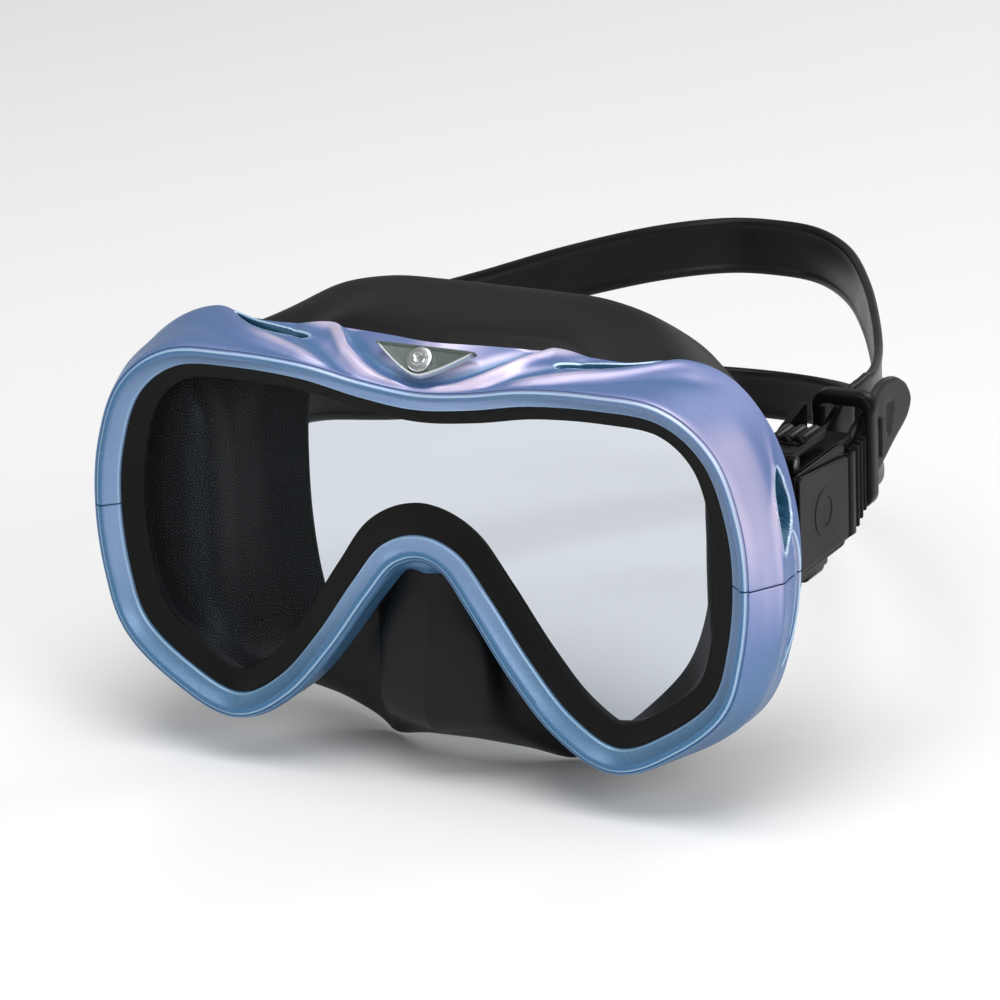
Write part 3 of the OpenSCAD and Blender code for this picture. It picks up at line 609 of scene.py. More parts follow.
def black(name, colour, rough, spread, grain, depth, level, lift=1.5, pale=None):
    """Moulded black rubber or plastic: cloudy sheen, fine grain, and a little dust in the tone."""
    m = Tree(name)
    soft, fine = m.noise(45.0, 4.0), m.noise(grain, 2.0)
    tone = m.mix(m.remap(soft, 0.35, 0.7), colour, tuple(c * lift for c in colour))
    if pale:
        tone = m.mix(m.attr("tail"), tone, pale)
    speck = m.remap(m.noise(1500.0, 0.0), 0.76, 0.82, 0.0, 0.12)
    tone = m.mix(speck, tone, tuple(c * 4 for c in colour))
    r = m.remap(m.math("ADD", m.math("MULTIPLY", soft, 0.7), m.math("MULTIPLY", fine, 0.3)), 0.3, 0.7,
                rough - spread, rough + spread)
    return m.surface(Base_Color=tone, Roughness=r, Specular_IOR_Level=level,
                     Normal=m.bump(fine, depth, 0.00012))


def metal(name, colour, rough, stretch):
    """Brushed metal; stretch draws out the brush marks."""
    m = Tree(name)
    brush = m.noise(700.0, 3.0, stretch=stretch)
    tone = m.mix(brush, tuple(c * 0.82 for c in colour), colour)
    r = m.remap(brush, 0.3, 0.7, rough - 0.06, rough + 0.08)
    return m.surface(Base_Color=tone, Metallic=1.0, Roughness=r,
                     Normal=m.bump(brush, 0.02, 0.00005))


def glass():
    """Faintly blue glass that lets light straight through to what it shades."""
    m = Tree("tempered_glass")
    haze = m.noise(18.0, 2.0)
    tint = m.mix(haze, (0.745, 0.790, 0.850), (0.755, 0.798, 0.856))
    n = m.tree.nodes.new("ShaderNodeBsdfPrincipled")
    for key, value in {"Base Color": tint, "Roughness": 0.0, "IOR": 1.12,
                       "Transmission Weight": 1.0, "Specular IOR Level": 0.5}.items():
        m.put(value, n.inputs[key])
    clear = m.node("BsdfTransparent", {0: tint})
    shadow = m.node("LightPath", out=1)
    mixed = m.node("MixShader", {0: shadow, 1: n.outputs[0], 2: clear})
    m.tree.links.new(mixed, m.out.inputs[0])
    return m.mat


def badge_metal():
    """Satin grey-green face inside a bright polished rim."""
    m = Tree("badge_satin_chrome")
    cloud = m.noise(260.0, 2.0)
    face = m.mix(cloud, (0.105, 0.135, 0.120), (0.135, 0.165, 0.150))
    tone = m.mix(m.attr("rim"), face, (0.66, 0.70, 0.72))
    rough = m.remap(m.attr("rim"), 0.0, 1.0, 0.42, 0.2)
    return m.surface(Base_Color=tone, Metallic=0.55, Roughness=rough,
                     Normal=m.bump(m.noise(1800.0, 1.0), 0.04, 0.00004))


PEARL = pearl()
SILICONE = black("matte_silicone", (0.0050, 0.0050, 0.0054), 0.52, 0.05, 1400.0, 0.03, 0.22,
                 lift=1.35)
STRAP_RUBBER = black("strap_silicone", (0.0026, 0.0028, 0.0028), 0.40, 0.06, 900.0, 0.04, 0.2,
                     pale=(0.026, 0.026, 0.027))
GASKET = black("gasket_silicone", (0.0022, 0.0021, 0.0020), 0.5, 0.05, 1200.0, 0.03, 0.15)
GLOSS_BLACK = black("gloss_plastic", (0.0022, 0.0022, 0.0024), 0.34, 0.05, 1100.0, 0.02, 0.10)
MATTE_BLACK = black("matte_plastic", (0.006, 0.006, 0.0065), 0.50, 0.06, 800.0, 0.08, 0.2)
BADGE = badge_metal()
EMBLEM = metal("emblem_chrome", (0.62, 0.64, 0.65), 0.24, (1.0, 1.0, 1.0))
STEEL = metal("pin_steel", (0.20, 0.20, 0.21), 0.38, (8.0, 1.0, 1.0))
GLASS = glass()


# ---- mask body ----------------------------------------------------------------------------

def material_on(node, material):
    materials = nodes[node].data.materials
    materials.clear()
    materials.append(material)


use(frame_half("frame_upper", -SEAM + SEAM_HALF, SEAM - SEAM_HALF),
    PEARL, "mask", "upper_frame", slot="pearl_frame")
use(frame_half("frame_lower", SEAM + SEAM_HALF, TRIP - SEAM - SEAM_HALF),
    PEARL, "mask", "lower_frame", slot="pearl_frame")
use(skirt_object(), SILICONE, "mask", "skirt", slot="silicone")
use(gasket_object(), GASKET, "mask", "lens_gasket", slot="silicone")
material_on("lens", GLASS)
for side in ("left", "right"):
    material_on(side + "_seam_pin", STEEL)
    material_on(side + "_buckle_mount", MATTE_BLACK)
    material_on(side + "_hinge_pin", STEEL)
    material_on(side + "_release_pins", STEEL)
    material_on(side + "_roller_axle", STEEL)
    material_on(side + "_strap_roller", MATTE_BLACK)


# ---- badge --------------------------------------------------------------------------------

BADGE_AT, BADGE_TILT = np.array([0, 4.9, 38.9]), math.radians(44)
BADGE_HALF, BADGE_RISE = 11.4, 6.6
BADGE_CORNER, BADGE_DROP = 0.3, 0.75  # how far the lower corners sit inside and below the ends
# The plate's edge: how far inside the outline, how high, and how bright
BADGE_EDGE = [(0.0, 0.1, 1.0), (0.0, 1.45, 1.0), (0.08, 1.68, 1.0), (0.2, 1.74, 1.0), (0.34, 1.68, 0.7),
              (0.42, 1.42, 0.0), (0.6, 1.34, 0.0)]
# The round boss, as (radius, height)
BOSS = [(2.9, 1.2), (2.9, 2.2), (2.8, 2.42), (2.6, 2.5), (1.75, 2.5), (1.68, 2.6), (1.66, 2.9),
        (1.55, 3.0), (1.2, 3.0), (1.08, 2.9), (1.05, 2.62), (0.9, 2.56), (0.2, 2.56)]


def on_badge(points):
    """Points on the badge's own plane (x right, y up the slope, z out of it) in the rim's frame."""
    p = np.asarray(points, float)
    c, s = math.cos(math.pi / 2 - BADGE_TILT), math.sin(math.pi / 2 - BADGE_TILT)
    return np.stack([p[..., 0], p[..., 1] * c - p[..., 2] * s,
                     p[..., 1] * s + p[..., 2] * c], -1) + BADGE_AT


def badge_plate():
    """A V-shaped plate: a flat sunk face inside a raised rim, with rounded outer corners."""
    corner, low = BADGE_HALF - BADGE_CORNER, BADGE_RISE - BADGE_DROP
    shape = np.array([[-BADGE_HALF, BADGE_RISE], [-corner, low], [-6.2, 2.35], [-2.6, 0.35],
                      [0, -0.35], [2.6, 0.35], [6.2, 2.35], [corner, low],
                      [BADGE_HALF, BADGE_RISE], [7, BADGE_RISE + 0.1], [0, BADGE_RISE + 0.1],
                      [-7, BADGE_RISE + 0.1]], float)
    ring2 = np.vstack([[blend4(*(shape[(i + k) % len(shape)] for k in (-1, 0, 1, 2)), u)
                        for u in np.linspace(0, 1, 8, endpoint=False)] for i in range(len(shape))])
    mid = np.array([0, BADGE_RISE * 0.52])
    d = np.roll(ring2, -1, 0) - np.roll(ring2, 1, 0)
    n = np.stack([-d[:, 1], d[:, 0]], 1) / np.linalg.norm(d, axis=1, keepdims=True)
    rows = []
    for inset, z, _ in BADGE_EDGE:
        p = ring2 + n * inset
        keep = np.clip(1 - inset * 0.06, 0, 1)
        p = mid + (p - mid) * keep
        p[:, 1] = np.clip(p[:, 1], ring2[:, 1].min() + inset * 0.6, ring2[:, 1].max() - inset * 0.4)
        rows.append(on_badge(np.column_stack([p, np.full(len(p), z)])))
    lower = 1 - step_up(ring2[:, 1], BADGE_RISE - 1.2, BADGE_RISE - 0.4)
    rim = np.outer([bright for _, _, bright in BADGE_EDGE], lower)
    return grid_object("badge_plate_face", np.stack(rows, 0), cap=True, attrs={"rim": rim},
                       sharp_deg=50)


def lathe(name, profile, count=48):
    """A turned shape on the badge from (radius, height) rows."""
    a = np.linspace(0, 2 * math.pi, count, endpoint=False)
    centre = np.array([0, BADGE_RISE / 2 - 0.1, 0])
    rows = [on_badge(centre + np.stack([r * np.cos(a), r * np.sin(a), np.full(count, z)], 1))
            for r, z in profile]
    return grid_object(name, np.stack(rows, 0), cap=True, sharp_deg=35)


use(badge_plate(), BADGE, "mask", "badge_plate", slot="badge_metal")
use(lathe("badge_round_boss", BOSS), EMBLEM, "mask", "badge_emblem", slot="badge_metal")


# ---- buckles: every part is drawn for the right side and mirrored for the left --------------

HINGE_Y, BUCKLE_Z, BUCKLE_H = 27.0, 8.5, 23.0
TOP, LOW = BUCKLE_Z + BUCKLE_H / 2, BUCKLE_Z - BUCKLE_H / 2
INNER_X, COVER_IN, COVER_OUT = 62.8, 76.6, 78.6
ROLLER_X, ROLLER_Y, ROLLER_R = 70.6, 52.0, 3.3
CHEEK_T = 1.7  # inner plate of the buckle
WALL_T = 1.5  # top and bottom walls


class Parts:
    """Collects simple solids into one mesh for one side."""

    def __init__(self, name, sx):
        self.bm = bmesh.new()
        self.name, self.sx = name, sx

    def vert(self, x, y, z):
        return self.bm.verts.new(to_row((x * self.sx, y, z)).tolist())

    def prism(self, outline2, low, high, plane="yz"):
        """An outline extruded from low to high; plane yz goes along X, plane xy along Z."""
        bottom, top = ([self.vert(c, a, b) if plane == "yz" else self.vert(a, b, c)
                        for a, b in outline2] for c in (low, high))
        self.bm.faces.new(bottom[::-1])
        self.bm.faces.new(top)
        bridge(self.bm, bottom, top)

    def box(self, low, high):
        (x0, y0, z0), (x1, y1, z1) = low, high
        self.prism([(y0, z0), (y1, z0), (y1, z1), (y0, z1)], x0, x1)

    def bar(self, r, x0, x1, y, z, count=40):
        """A round bar along X."""
        pts = [(y + r * math.cos(a), z + r * math.sin(a))
               for a in np.linspace(0, 2 * math.pi, count, endpoint=False)]
        self.prism(pts, x0, x1)

    def tube(self, r0, r1, x0, x1, y, z, count=48):
        """A ring along X."""
        rows = [[self.vert(x, y + r * math.cos(a), z + r * math.sin(a))
                 for a in np.linspace(0, 2 * math.pi, count, endpoint=False)]
                for r, x in ((r1, x0), (r1, x1), (r0, x1), (r0, x0))]
        for i in range(4):
            bridge(self.bm, rows[i], rows[(i + 1) % 4])

    def capsule(self, r, x, z, y0, y1, count=20, ends=6):
        """A rounded bar along Y; its ends stop just short of a point."""
        tip, quarter = 0.08, math.pi / 2
        rings = [(y0 - r * math.cos(a), r * math.sin(a)) for a in np.linspace(tip, quarter, ends)]
        rings += [(y1 + r * math.sin(a), r * math.cos(a)) for a in np.linspace(0, quarter - tip, ends)]
        rows = [[self.vert(x + q * math.cos(a), y, z + q * math.sin(a))
                 for a in np.linspace(0, 2 * math.pi, count, endpoint=False)] for y, q in rings]
        for a, b in zip(rows, rows[1:]):
            bridge(self.bm, a, b)
        self.bm.faces.new(rows[0][::-1])
        self.bm.faces.new(rows[-1])

    def done(self, bevel, segments):
        obj = object_from(self.bm, self.name, 32)
        mod = obj.modifiers.new("bevel", "BEVEL")
        mod.width, mod.segments = bevel * MM, segments
        mod.limit_method, mod.angle_limit = "ANGLE", math.radians(35)
        return obj


LEVER_Y, LEVER_Z, LEVER_X, LEVER_HALF = 27.5, 13.4, 70.4, 4.4
LEVER_REAR, LEVER_TIP, LEVER_LOW, LEVER_TOP = 44.0, 48.0, 13.1, 14.9
GRIP_Y, GRIP_LEN, GRIP_R, GRIP_STEP = 36.4, 7.2, 1.42, 2.7
PIN_R, RUN, EYE_R, EYE_LEN = 0.9, 0.05, 1.7, 1.5


def buckle_base(side, sx):
    p = Parts(side + "_buckle_body", sx)
    # inner plate: a cheek that runs back from under the lever to the keeper
    cheek = [(24.5, LOW + 3), (27, LOW), (55, LOW), (58.6, LOW + 2.5), (60.1, 6), (60.3, 24.2),
             (58.6, 24), (54, 22.9), (50, 22), (46.8, 21), (45.2, TOP - 0.3), (30.5, TOP - 0.3),
             (26, TOP - 1.5), (24.4, TOP - 4)]
    p.prism(cheek, INNER_X, INNER_X + CHEEK_T)
    # outer cheek: a low wall that sweeps up to the keeper's outer leg
    sweep = [(52, 8), (52, 17.8), (56.5, 17.3), (58.4, 18), (59.6, 19.6), (60.1, 22.4), (60.3, 22.4),
             (60.3, 8)]
    p.prism(sweep, 76.4, 77.7)
    p.bar(6.0, INNER_X + 0.2, 71.4, HINGE_Y, BUCKLE_Z)
    p.box((INNER_X + 0.3, HINGE_Y + 1, LOW + 1.2), (71.4, HINGE_Y + 7, TOP - 1.2))
    # top and bottom walls with a window over the roller
    for z0, z1 in ((TOP - WALL_T, TOP), (LOW, LOW + WALL_T)):
        p.box((INNER_X + 0.4, 27, z0), (COVER_IN - 0.05, 43.2, z1))
        p.box((72.9, 42.8, z0), (COVER_IN - 0.05, 56, z1))
        p.box((INNER_X + 0.4, 42.8, z0), (64.3, 56, z1))
        p.box((69.2, 49.6, z0 + 0.05), (73.2, 54.6, z1 - 0.05))
        p.box((INNER_X + 0.5, 53.2, z0 + 0.1), (COVER_IN - 0.3, 55.8, z1 - 0.1))
    for k in (1, -1):
        z = BUCKLE_Z + k * LEVER_Z
        # an eye for the pin on both sides of the lever
        for x in (LEVER_X - LEVER_HALF - 1.7, LEVER_X + LEVER_HALF + 0.2):
            p.tube(PIN_R + 0.02, EYE_R, x, x + EYE_LEN, LEVER_Y, z, 28)
            zs = sorted((BUCKLE_Z + k * (BUCKLE_H / 2 - 0.8), z - k * 1.3))
            p.box((x, LEVER_Y - 1.6, zs[0]), (x + EYE_LEN, LEVER_Y + 1.6, zs[1]))
    return p.done(0.45, 3)


PANEL = ((24.4, -1.4), (49.9, -1.2), (49.9, 17.2), (24.4, 19.7))  # corners of the outer panel, [y, z]
COLUMN_Y, RIB_Y, RIB_LEN, RIBS = 50.1, 54.7, 1.9, 3


def rounded_outline(corners, r, count=6):
    """A four-cornered outline with its corners rounded, given anticlockwise."""
    pts = []
    c = np.array(corners, float)
    for i in range(len(c)):
        before, after = c[i - 1] - c[i], c[(i + 1) % len(c)] - c[i]
        before, after = before / np.linalg.norm(before), after / np.linalg.norm(after)
        for u in np.linspace(0, 1, count):
            # a quadratic arc from one side of the corner to the other
            pts.append(c[i] + before * r * (1 - u) ** 2 + after * r * u ** 2)
    return pts


def buckle_cover(side, sx):
    p = Parts(side + "_buckle_panel", sx)
    p.prism(rounded_outline(PANEL, 1.6), COVER_IN, COVER_OUT - 0.12)
    # a backing plate fills the height of the walls behind the panel
    back = ((24.2, LOW), (50, LOW), (50, TOP - 0.1), (24.2, TOP - 0.1))
    p.prism(rounded_outline(back, 1.8), COVER_IN - 0.05, COVER_IN + 1)
    column = [(COLUMN_Y, 77.1), (50.5, 78.2), (51.2, 78.55), (53.5, 78.55), (54.2, 78.2), (54.4, 77.2),
              (54.4, COVER_IN), (COLUMN_Y, COVER_IN)]
    p.prism([(x, y) for y, x in column], -1.5, 17.2, plane="xy")
    # stepped ribs that climb towards the strap
    for i in range(RIBS):
        y0, low, high = RIB_Y + RIB_LEN * i, -0.6 + 1.2 * i, 17.7 + 0.4 * i
        y1 = y0 + RIB_LEN - 0.2
        rib = [(COVER_IN, y0), (77.6, y0), (78.3, y0 + 0.25), (78.45, y0 + 0.7),
               (78.35, y0 + RIB_LEN - 0.5), (77.5, y1), (COVER_IN, y1)]
        p.prism(rib, low, high, plane="xy")
    # the plate behind the ribs
    p.prism([(54, 1.6), (60.6, 1.6), (60.6, 18), (54, 17.4)], COVER_IN - 0.1, 77.4)
    return p.done(0.3, 3)


INLAY_Y, INLAY_DEEP = 37.5, 0.7


def cover_inlay(side, sx):
    """A flat ring with a sunk disc inside it."""
    p = Parts(side + "_panel_ring", sx)
    p.tube(3.3, 5.25, COVER_OUT - INLAY_DEEP, COVER_OUT + 0.02, INLAY_Y, BUCKLE_Z)
    p.bar(3.15, COVER_OUT - INLAY_DEEP, COVER_OUT - 0.35, INLAY_Y, BUCKLE_Z, 48)
    return p.done(0.12, 2)


def release(side, sx, level, k):
    p = Parts(f"{side}_{level}_lever", sx)
    x0, x1 = LEVER_X - LEVER_HALF, LEVER_X + LEVER_HALF
    z = BUCKLE_Z + k * LEVER_Z
    zs = sorted((BUCKLE_Z + k * LEVER_LOW, BUCKLE_Z + k * LEVER_TOP))
    # the plate reaches furthest back on its outer side, with round corners
    plate = [(x0, LEVER_Y + 1.5), (x1, LEVER_Y + 1.5), (x1 + 0.2, LEVER_TIP - 2.2),
             (x1 - 0.2, LEVER_TIP - 0.9), (x1 - 1.2, LEVER_TIP - 0.1), (x1 - 2.4, LEVER_TIP),
             (x1 - 3.8, LEVER_TIP - 0.6), (x0 + 1.4, LEVER_REAR), (x0 + 0.4, LEVER_REAR - 0.7),
             (x0, LEVER_REAR - 1.8)]
    p.prism(plate, zs[0], zs[1], plane="xy")
    p.tube(PIN_R + RUN, EYE_R, x0, x1, LEVER_Y, z, 32)
    # the raised thumb pad under the ridges
    pad = sorted((BUCKLE_Z + k * (LEVER_TOP - 0.2), BUCKLE_Z + k * (LEVER_TOP + 0.35)))
    p.prism([(x0 + 0.4, GRIP_Y - 2), (x1 - 1, GRIP_Y - 2), (x1 - 1, GRIP_Y + GRIP_LEN + 1.6),
             (x0 + 0.8, GRIP_Y + GRIP_LEN + 0.6)], pad[0], pad[1], plane="xy")
    for i in (-1, 0, 1):
        start = GRIP_Y + 0.7 * i
        p.capsule(GRIP_R, LEVER_X + 0.3 + GRIP_STEP * i, BUCKLE_Z + k * (LEVER_TOP + 0.15),
                  start, start + GRIP_LEN)
    return p.done(0.3, 3)


KEEPER_IN_X, KEEPER_OUT_X, KEEPER_TOP, KEEPER_FOOT, KEEPER_RISE = 66.8, 77.6, 24.2, -1.8, 4.4
KEEPER_Y, KEEPER_CORNER = 60.4, 2.0
KEEPER_THICKER = 0.9  # share by which the top bar is thicker than the rest
# Section of the keeper, as (outwards, backwards)
KEEPER_SECTION = [(0.15, 0), (0, 0.35), (0, 4.25), (0.15, 4.6), (0.95, 4.6), (1.3, 4.4), (1.5, 4.05),
                  (1.5, 0.55), (1.3, 0.2), (0.95, 0)]


def keeper(side, sx):
    """A loop with round corners, thicker over the top, swept as one closed ring."""
    x0, x1, z0, z1 = KEEPER_IN_X, KEEPER_OUT_X, KEEPER_FOOT, KEEPER_TOP
    corners = [(x1, z1, 0), (x0, z1, 90), (x0, z0, 180), (x1, z0 + KEEPER_RISE, 270)]
    path = []
    for cx, cz, a0 in corners:
        px = cx - math.copysign(KEEPER_CORNER, cx - (x0 + x1) / 2)
        pz = cz - math.copysign(KEEPER_CORNER, cz - (z0 + z1) / 2)
        for a in np.radians(a0 + np.linspace(0, 90, 13)):
            path.append((px, pz, math.cos(a), math.sin(a)))
    rings = []
    for px, pz, c, s in path:
        more = 1 + KEEPER_THICKER * max(s, 0)
        rings.append([((px + (KEEPER_CORNER + q * more) * c) * sx, KEEPER_Y + y,
                       pz + (KEEPER_CORNER + q * more) * s) for q, y in KEEPER_SECTION])
    return grid_object(side + "_keeper_loop", np.array(rings), close_u=True, sharp_deg=50)


SIDES = (("left", -1), ("right", 1))
for side, sx in SIDES:
    use(buckle_base(side, sx), GLOSS_BLACK, "strap_set", side + "_buckle_base", slot="gloss_black")
    use(buckle_cover(side, sx), GLOSS_BLACK, "strap_set", side + "_buckle_cover", slot="gloss_black")
    use(cover_inlay(side, sx), MATTE_BLACK, "strap_set", side + "_cover_inlay", slot="gloss_black")
    use(keeper(side, sx), GLOSS_BLACK, "strap_set", side + "_strap_keeper", slot="gloss_black")
    for level, k in (("upper", 1), ("lower", -1)):
        body = f"{side}_{level}_release"
        use(release(side, sx, level, k), GLOSS_BLACK, body, body, slot="gloss_black")


# ---- strap --------------------------------------------------------------------------------

STRAP_T, STRAP_H = 2.0, 19.0
TURN_R = ROLLER_R + 0.35 + STRAP_T / 2
IN_X, OUT_X = ROLLER_X - TURN_R, ROLLER_X + TURN_R
# Middle line of the strap, as [x, y, z, half height]: the two tails, then the turn to the split
LONG_TIP = [[OUT_X + 2.65, 83.2, 19.9, 0.5], [OUT_X + 2.6, 82.6, 19.9, 2.4],
            [OUT_X + 2.4, 80.8, 19.9, 4.6], [OUT_X + 1.9, 76.5, 19.6, 7.1],
            [OUT_X + 1.3, 71, 17.6, 9]]
SHORT_TIP = [[OUT_X + 1.5, 73, 13.4, 0.6], [OUT_X + 1.5, 72.4, 13.4, 3.4], [OUT_X + 1.4, 71.4, 13.4, 6],
             [OUT_X + 1.1, 69, 13.3, 8.4]]
TO_SPLIT = [[OUT_X + 0.6, 65, 13.5, 9.1], [OUT_X + 0.1, 60, 11.5, 8.5],
            [OUT_X, 57, BUCKLE_Z, STRAP_H / 2]]
TO_SPLIT += [[ROLLER_X + TURN_R * math.cos(a), ROLLER_Y - TURN_R * math.sin(a), BUCKLE_Z, STRAP_H / 2]
             for a in (math.radians(degrees) for degrees in range(0, 181, 15))]
TO_SPLIT += [[IN_X, 57, BUCKLE_Z, STRAP_H / 2], [IN_X + 2.7, 61.6, 9.6, 10.6],
             [IN_X + 3.2, 69, 12, 12.4], [IN_X + 3.4, 77, 12, 13], [IN_X + 3, 82, 11.6, 13.4]]
# The two bands round the back of the head: [x, y] of the line, and [z, half height] of each band
ROUTE = [[IN_X + 3.2, 76], [67.6, 88], [60.5, 108], [50.5, 130], [38.5, 152.5], [25.5, 172.5],
         [12.5, 184.8], [0, 188]]
UPPER = [[18.6, 6.4], [17.6, 6.4], [15.4, 6.5], [15.2, 6.6], [16.4, 6.7], [17, 6.8], [17.1, 6.8],
         [17, 6.8]]
LOWER = [[5, 6.2], [2.8, 6.2], [-2.4, 6.1], [-6.4, 6], [-10.6, 6], [-15.6, 6], [-19, 6],
         [-19.8, 6]]
# Half thickness of the strap by distance from its edge: a rounded bead, then a thinner web
BAND_EDGE = [(0.0, 0.0), (0.06, 0.4), (0.3, 0.78), (0.75, 1.0), (1.25, 1.05), (1.75, 0.98),
             (2.1, 0.82), (2.5, 0.74), (4.2, 0.74)]
TAIL_EDGE = [(0.0, 0.0), (0.05, 0.4), (0.2, 0.75), (0.6, 0.96), (1.4, 1.0), (2.2, 1.0), (3.2, 1.0)]
STRAP_STEP, TAIL_STEP, FACE_STEPS = 10, 8, 15
TEETH, TOOTH_Y, TOOTH_STEP, TOOTH_Z, TOOTH_HALF = 2, 67.2, 2.2, 14.0, 4.5
# A rib's outline, as (outwards, backwards), and how it narrows towards both ends
TOOTH_SHAPE = ((0, -0.8), (0.9, -0.66), (1.25, -0.3), (1.25, 0.3), (0.9, 0.66), (0, 0.8))
TOOTH_ENDS = ((-1, 0.5), (-0.93, 0.95), (-0.8, 1), (0.8, 1), (0.93, 0.95), (1, 0.5))
DROP_Y, DROP_TOP, DROP_LOW, DROP_DEEP = 73.4, 21.4, 14.6, 0.75  # the teardrop pressed into the tail


def press_drop(grid):
    """Presses a teardrop, wide above and pointed below, into the outer face of the tail."""
    y, z = grid[..., 1], grid[..., 2]
    up = np.clip((z - DROP_LOW) / (DROP_TOP - DROP_LOW), 0, 1)
    half = 0.25 + 1.35 * up ** 0.8
    inside = 1 - step_up(np.abs(y - DROP_Y - 0.6 * up), half - 0.3, half + 0.3)
    below_top = 1 - step_up(z, DROP_TOP - 0.5, DROP_TOP + 0.7)
    inside *= step_up(z, DROP_LOW - 0.6, DROP_LOW + 0.6) * below_top
    outer = grid[..., 0] > grid[..., 0].mean(1, keepdims=True)
    grid[..., 0] -= DROP_DEEP * inside * outer
    return grid


def strap_grid(run, edge, per):
    """Sections of a band along run, with per steps between its points."""
    run = np.array(run, float)
    last = len(run) - 1
    at = np.arange(last * per + 1)
    i = np.clip(at // per, 0, last - 1)
    u = (at / per - i)[:, None]
    p = blend4(run[np.maximum(i - 1, 0)], run[i], run[i + 1], run[np.minimum(i + 2, last)], u)
    d = np.gradient(p[:, :2], axis=0)
    d /= np.linalg.norm(d, axis=1, keepdims=True)
    n = np.stack([-d[:, 1], d[:, 0]], 1)
    ring_w, ring_h = zip(*edge)
    rows = []
    for (x, y, z0, half), (nx, ny) in zip(p, n):
        w = np.minimum(ring_w, half * 0.98)
        low = [(h, -half + a) for a, h in zip(w, ring_h)]
        high = [(h, half - a) for a, h in zip(w, ring_h)][::-1]
        web = np.linspace(low[-1][1], high[0][1], FACE_STEPS)[1:-1]
        face = low + [(ring_h[-1], z) for z in web] + high
        loop = face + [(-h, z) for h, z in face[::-1]][1:-1]
        rows.append([(x + nx * h, y + ny * h, z0 + z) for h, z in loop])
    return np.array(rows)


def whole_band(heights):
    half = [r + h for r, h in zip(ROUTE, heights)]
    return half + [[-x, y, z, h] for x, y, z, h in half[-2::-1]]


def strap():
    bm = bmesh.new()
    tail = bm.verts.layers.float.new("tail")

    def add(grid, weight=None, mirror=False):
        if mirror:
            grid = grid * [-1, 1, 1]
        rows = [[bm.verts.new(to_row(q).tolist()) for q in r] for r in grid]
        for k, r in enumerate(rows):
            for vert in r:
                vert[tail] = 0.0 if weight is None else float(weight[k])
        for a, b in zip(rows, rows[1:]):
            bridge(bm, a, b)
        bm.faces.new(rows[0][::-1])
        bm.faces.new(rows[-1])

    for heights in (UPPER, LOWER):
        add(strap_grid(whole_band(heights), BAND_EDGE, STRAP_STEP))
    for flip, tip in ((False, LONG_TIP), (True, SHORT_TIP)):
        run = strap_grid(tip + TO_SPLIT, TAIL_EDGE, TAIL_STEP)
        outside = np.arange(len(run)) < TAIL_STEP * (len(tip) + 2)
        weight = np.where(outside, step_up(run.mean(1)[:, 1], 63, 66), 0.0)
        add(press_drop(run) if tip is LONG_TIP else run, weight, flip)
    # ribs across the long tail, just behind the keeper
    for i in range(TEETH):
        y, z, x = TOOTH_Y + TOOTH_STEP * i, TOOTH_Z + i, OUT_X + 1.4 + 0.25 * i
        rows = [[(x + a * s, y + b * s, z + up * TOOTH_HALF) for a, b in TOOTH_SHAPE]
                for up, s in TOOTH_ENDS]
        add(np.array(rows), np.zeros(len(rows)))
    return object_from(bm, "head_strap_band", 40)


use(strap(), STRAP_RUBBER, "strap_set", "head_strap", slot="strap_silicone")


# ---- floor, light and camera ----------------------------------------------------------------

def plain(name, colour, rough):
    m = Tree(name)
    tone = m.mix(m.noise(3.0, 2.0), colour, tuple(min(1.0, c * 1.01) for c in colour))
    return m.surface(Base_Color=tone, Roughness=rough, Specular_IOR_Level=0.2)


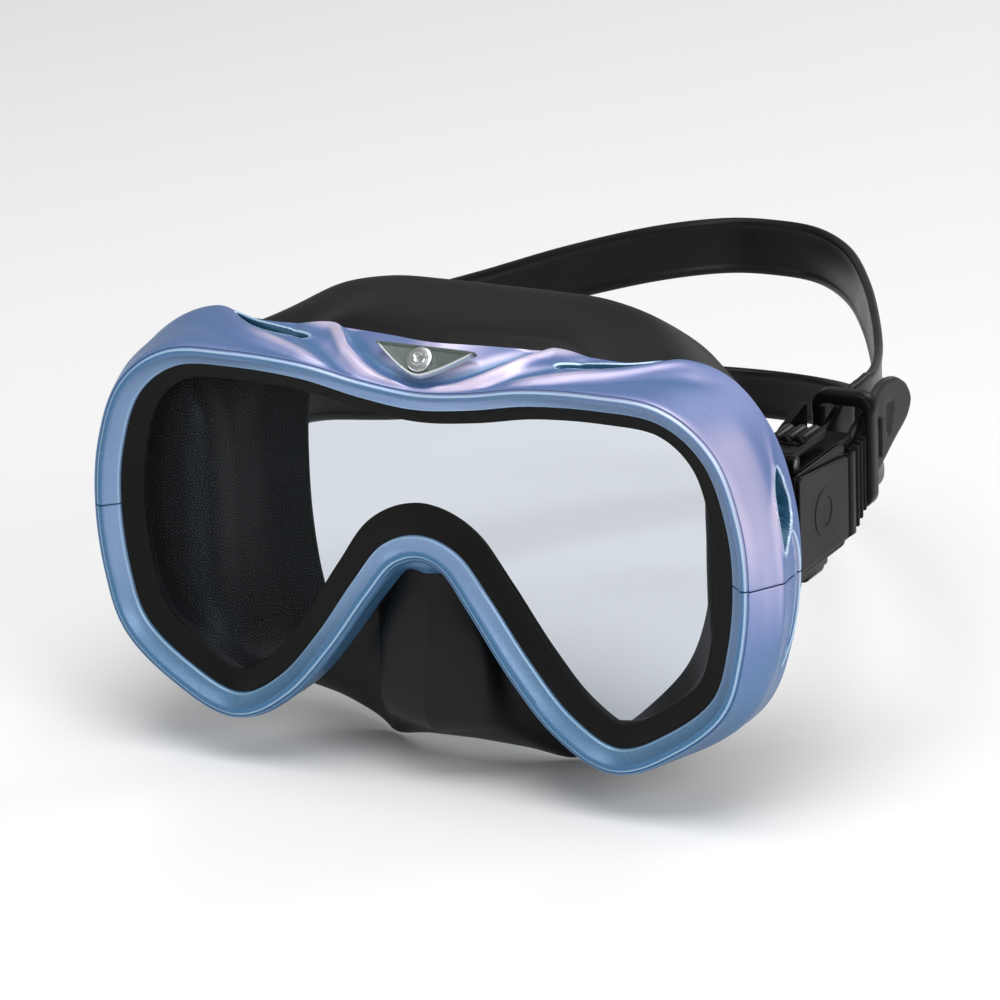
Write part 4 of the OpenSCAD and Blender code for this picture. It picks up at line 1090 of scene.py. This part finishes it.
floor_z = cad_low.z - 0.0005  # just under the lowest point of the solids
reach = 6.0
floor_mesh = bpy.data.meshes.new("floor")
floor_mesh.from_pydata([(-reach, -reach, floor_z), (reach, -reach, floor_z), (reach, reach, floor_z),
                        (-reach, reach, floor_z)], [], [(0, 1, 2, 3)])
floor = link("floor", floor_mesh)
floor_mesh.materials.append(plain("floor_white", (0.93, 0.93, 0.93), 0.6))

scene = bpy.context.scene
scene.view_settings.view_transform = "Standard"
scene.view_settings.look = "None"
world = bpy.data.worlds.new("studio")
scene.world = world
world.use_nodes = True
world.node_tree.nodes["Background"].inputs[0].default_value = (1.0, 1.0, 1.0, 1.0)
world.node_tree.nodes["Background"].inputs[1].default_value = 0.38


def softbox(name, at, aim, size, watts):
    data = bpy.data.lights.new(name, "AREA")
    data.energy, data.shape, data.size, data.size_y = watts, "RECTANGLE", size, size
    lamp = bpy.data.objects.new(name, data)
    scene.collection.objects.link(lamp)
    lamp.location = at
    lamp.rotation_euler = (Vector(aim) - Vector(at)).to_track_quat("-Z", "Y").to_euler()


centre = (0.0, 0.0, 0.0)
softbox("key_top", (0.15, -0.25, 1.1), centre, 0.9, 9.0)
softbox("front_left", (-0.9, -0.9, 0.45), centre, 0.5, 2.2)
softbox("front_right", (1.0, -0.7, 0.55), centre, 0.6, 6.5)
softbox("rim_back", (0.2, 1.2, 0.7), (0.0, 0.06, 0.0), 0.4, 3.0)

CAM_AZ, CAM_EL, CAM_ROLL = (math.radians(a) for a in (27.231, 18.626, -1.911))
CAM_AT = (0.5652548, -1.1029876, 0.4167918)
back = Vector((math.sin(CAM_AZ) * math.cos(CAM_EL), -math.cos(CAM_AZ) * math.cos(CAM_EL),
               math.sin(CAM_EL)))
right = Vector((math.cos(CAM_AZ), math.sin(CAM_AZ), 0.0))
up = back.cross(right)
cr, sr = math.cos(CAM_ROLL), math.sin(CAM_ROLL)
cam_right, cam_up = cr * right + sr * up, -sr * right + cr * up
cam_data = bpy.data.cameras.new("camera")
cam_data.lens, cam_data.sensor_width = 216.0, 36.0
cam_data.clip_start, cam_data.clip_end = 0.05, 30.0
camera = bpy.data.objects.new("camera", cam_data)
scene.collection.objects.link(camera)
turn = Matrix((cam_right, cam_up, back)).transposed().to_4x4()
camera.matrix_world = Matrix.Translation(CAM_AT) @ turn
scene.camera = camera
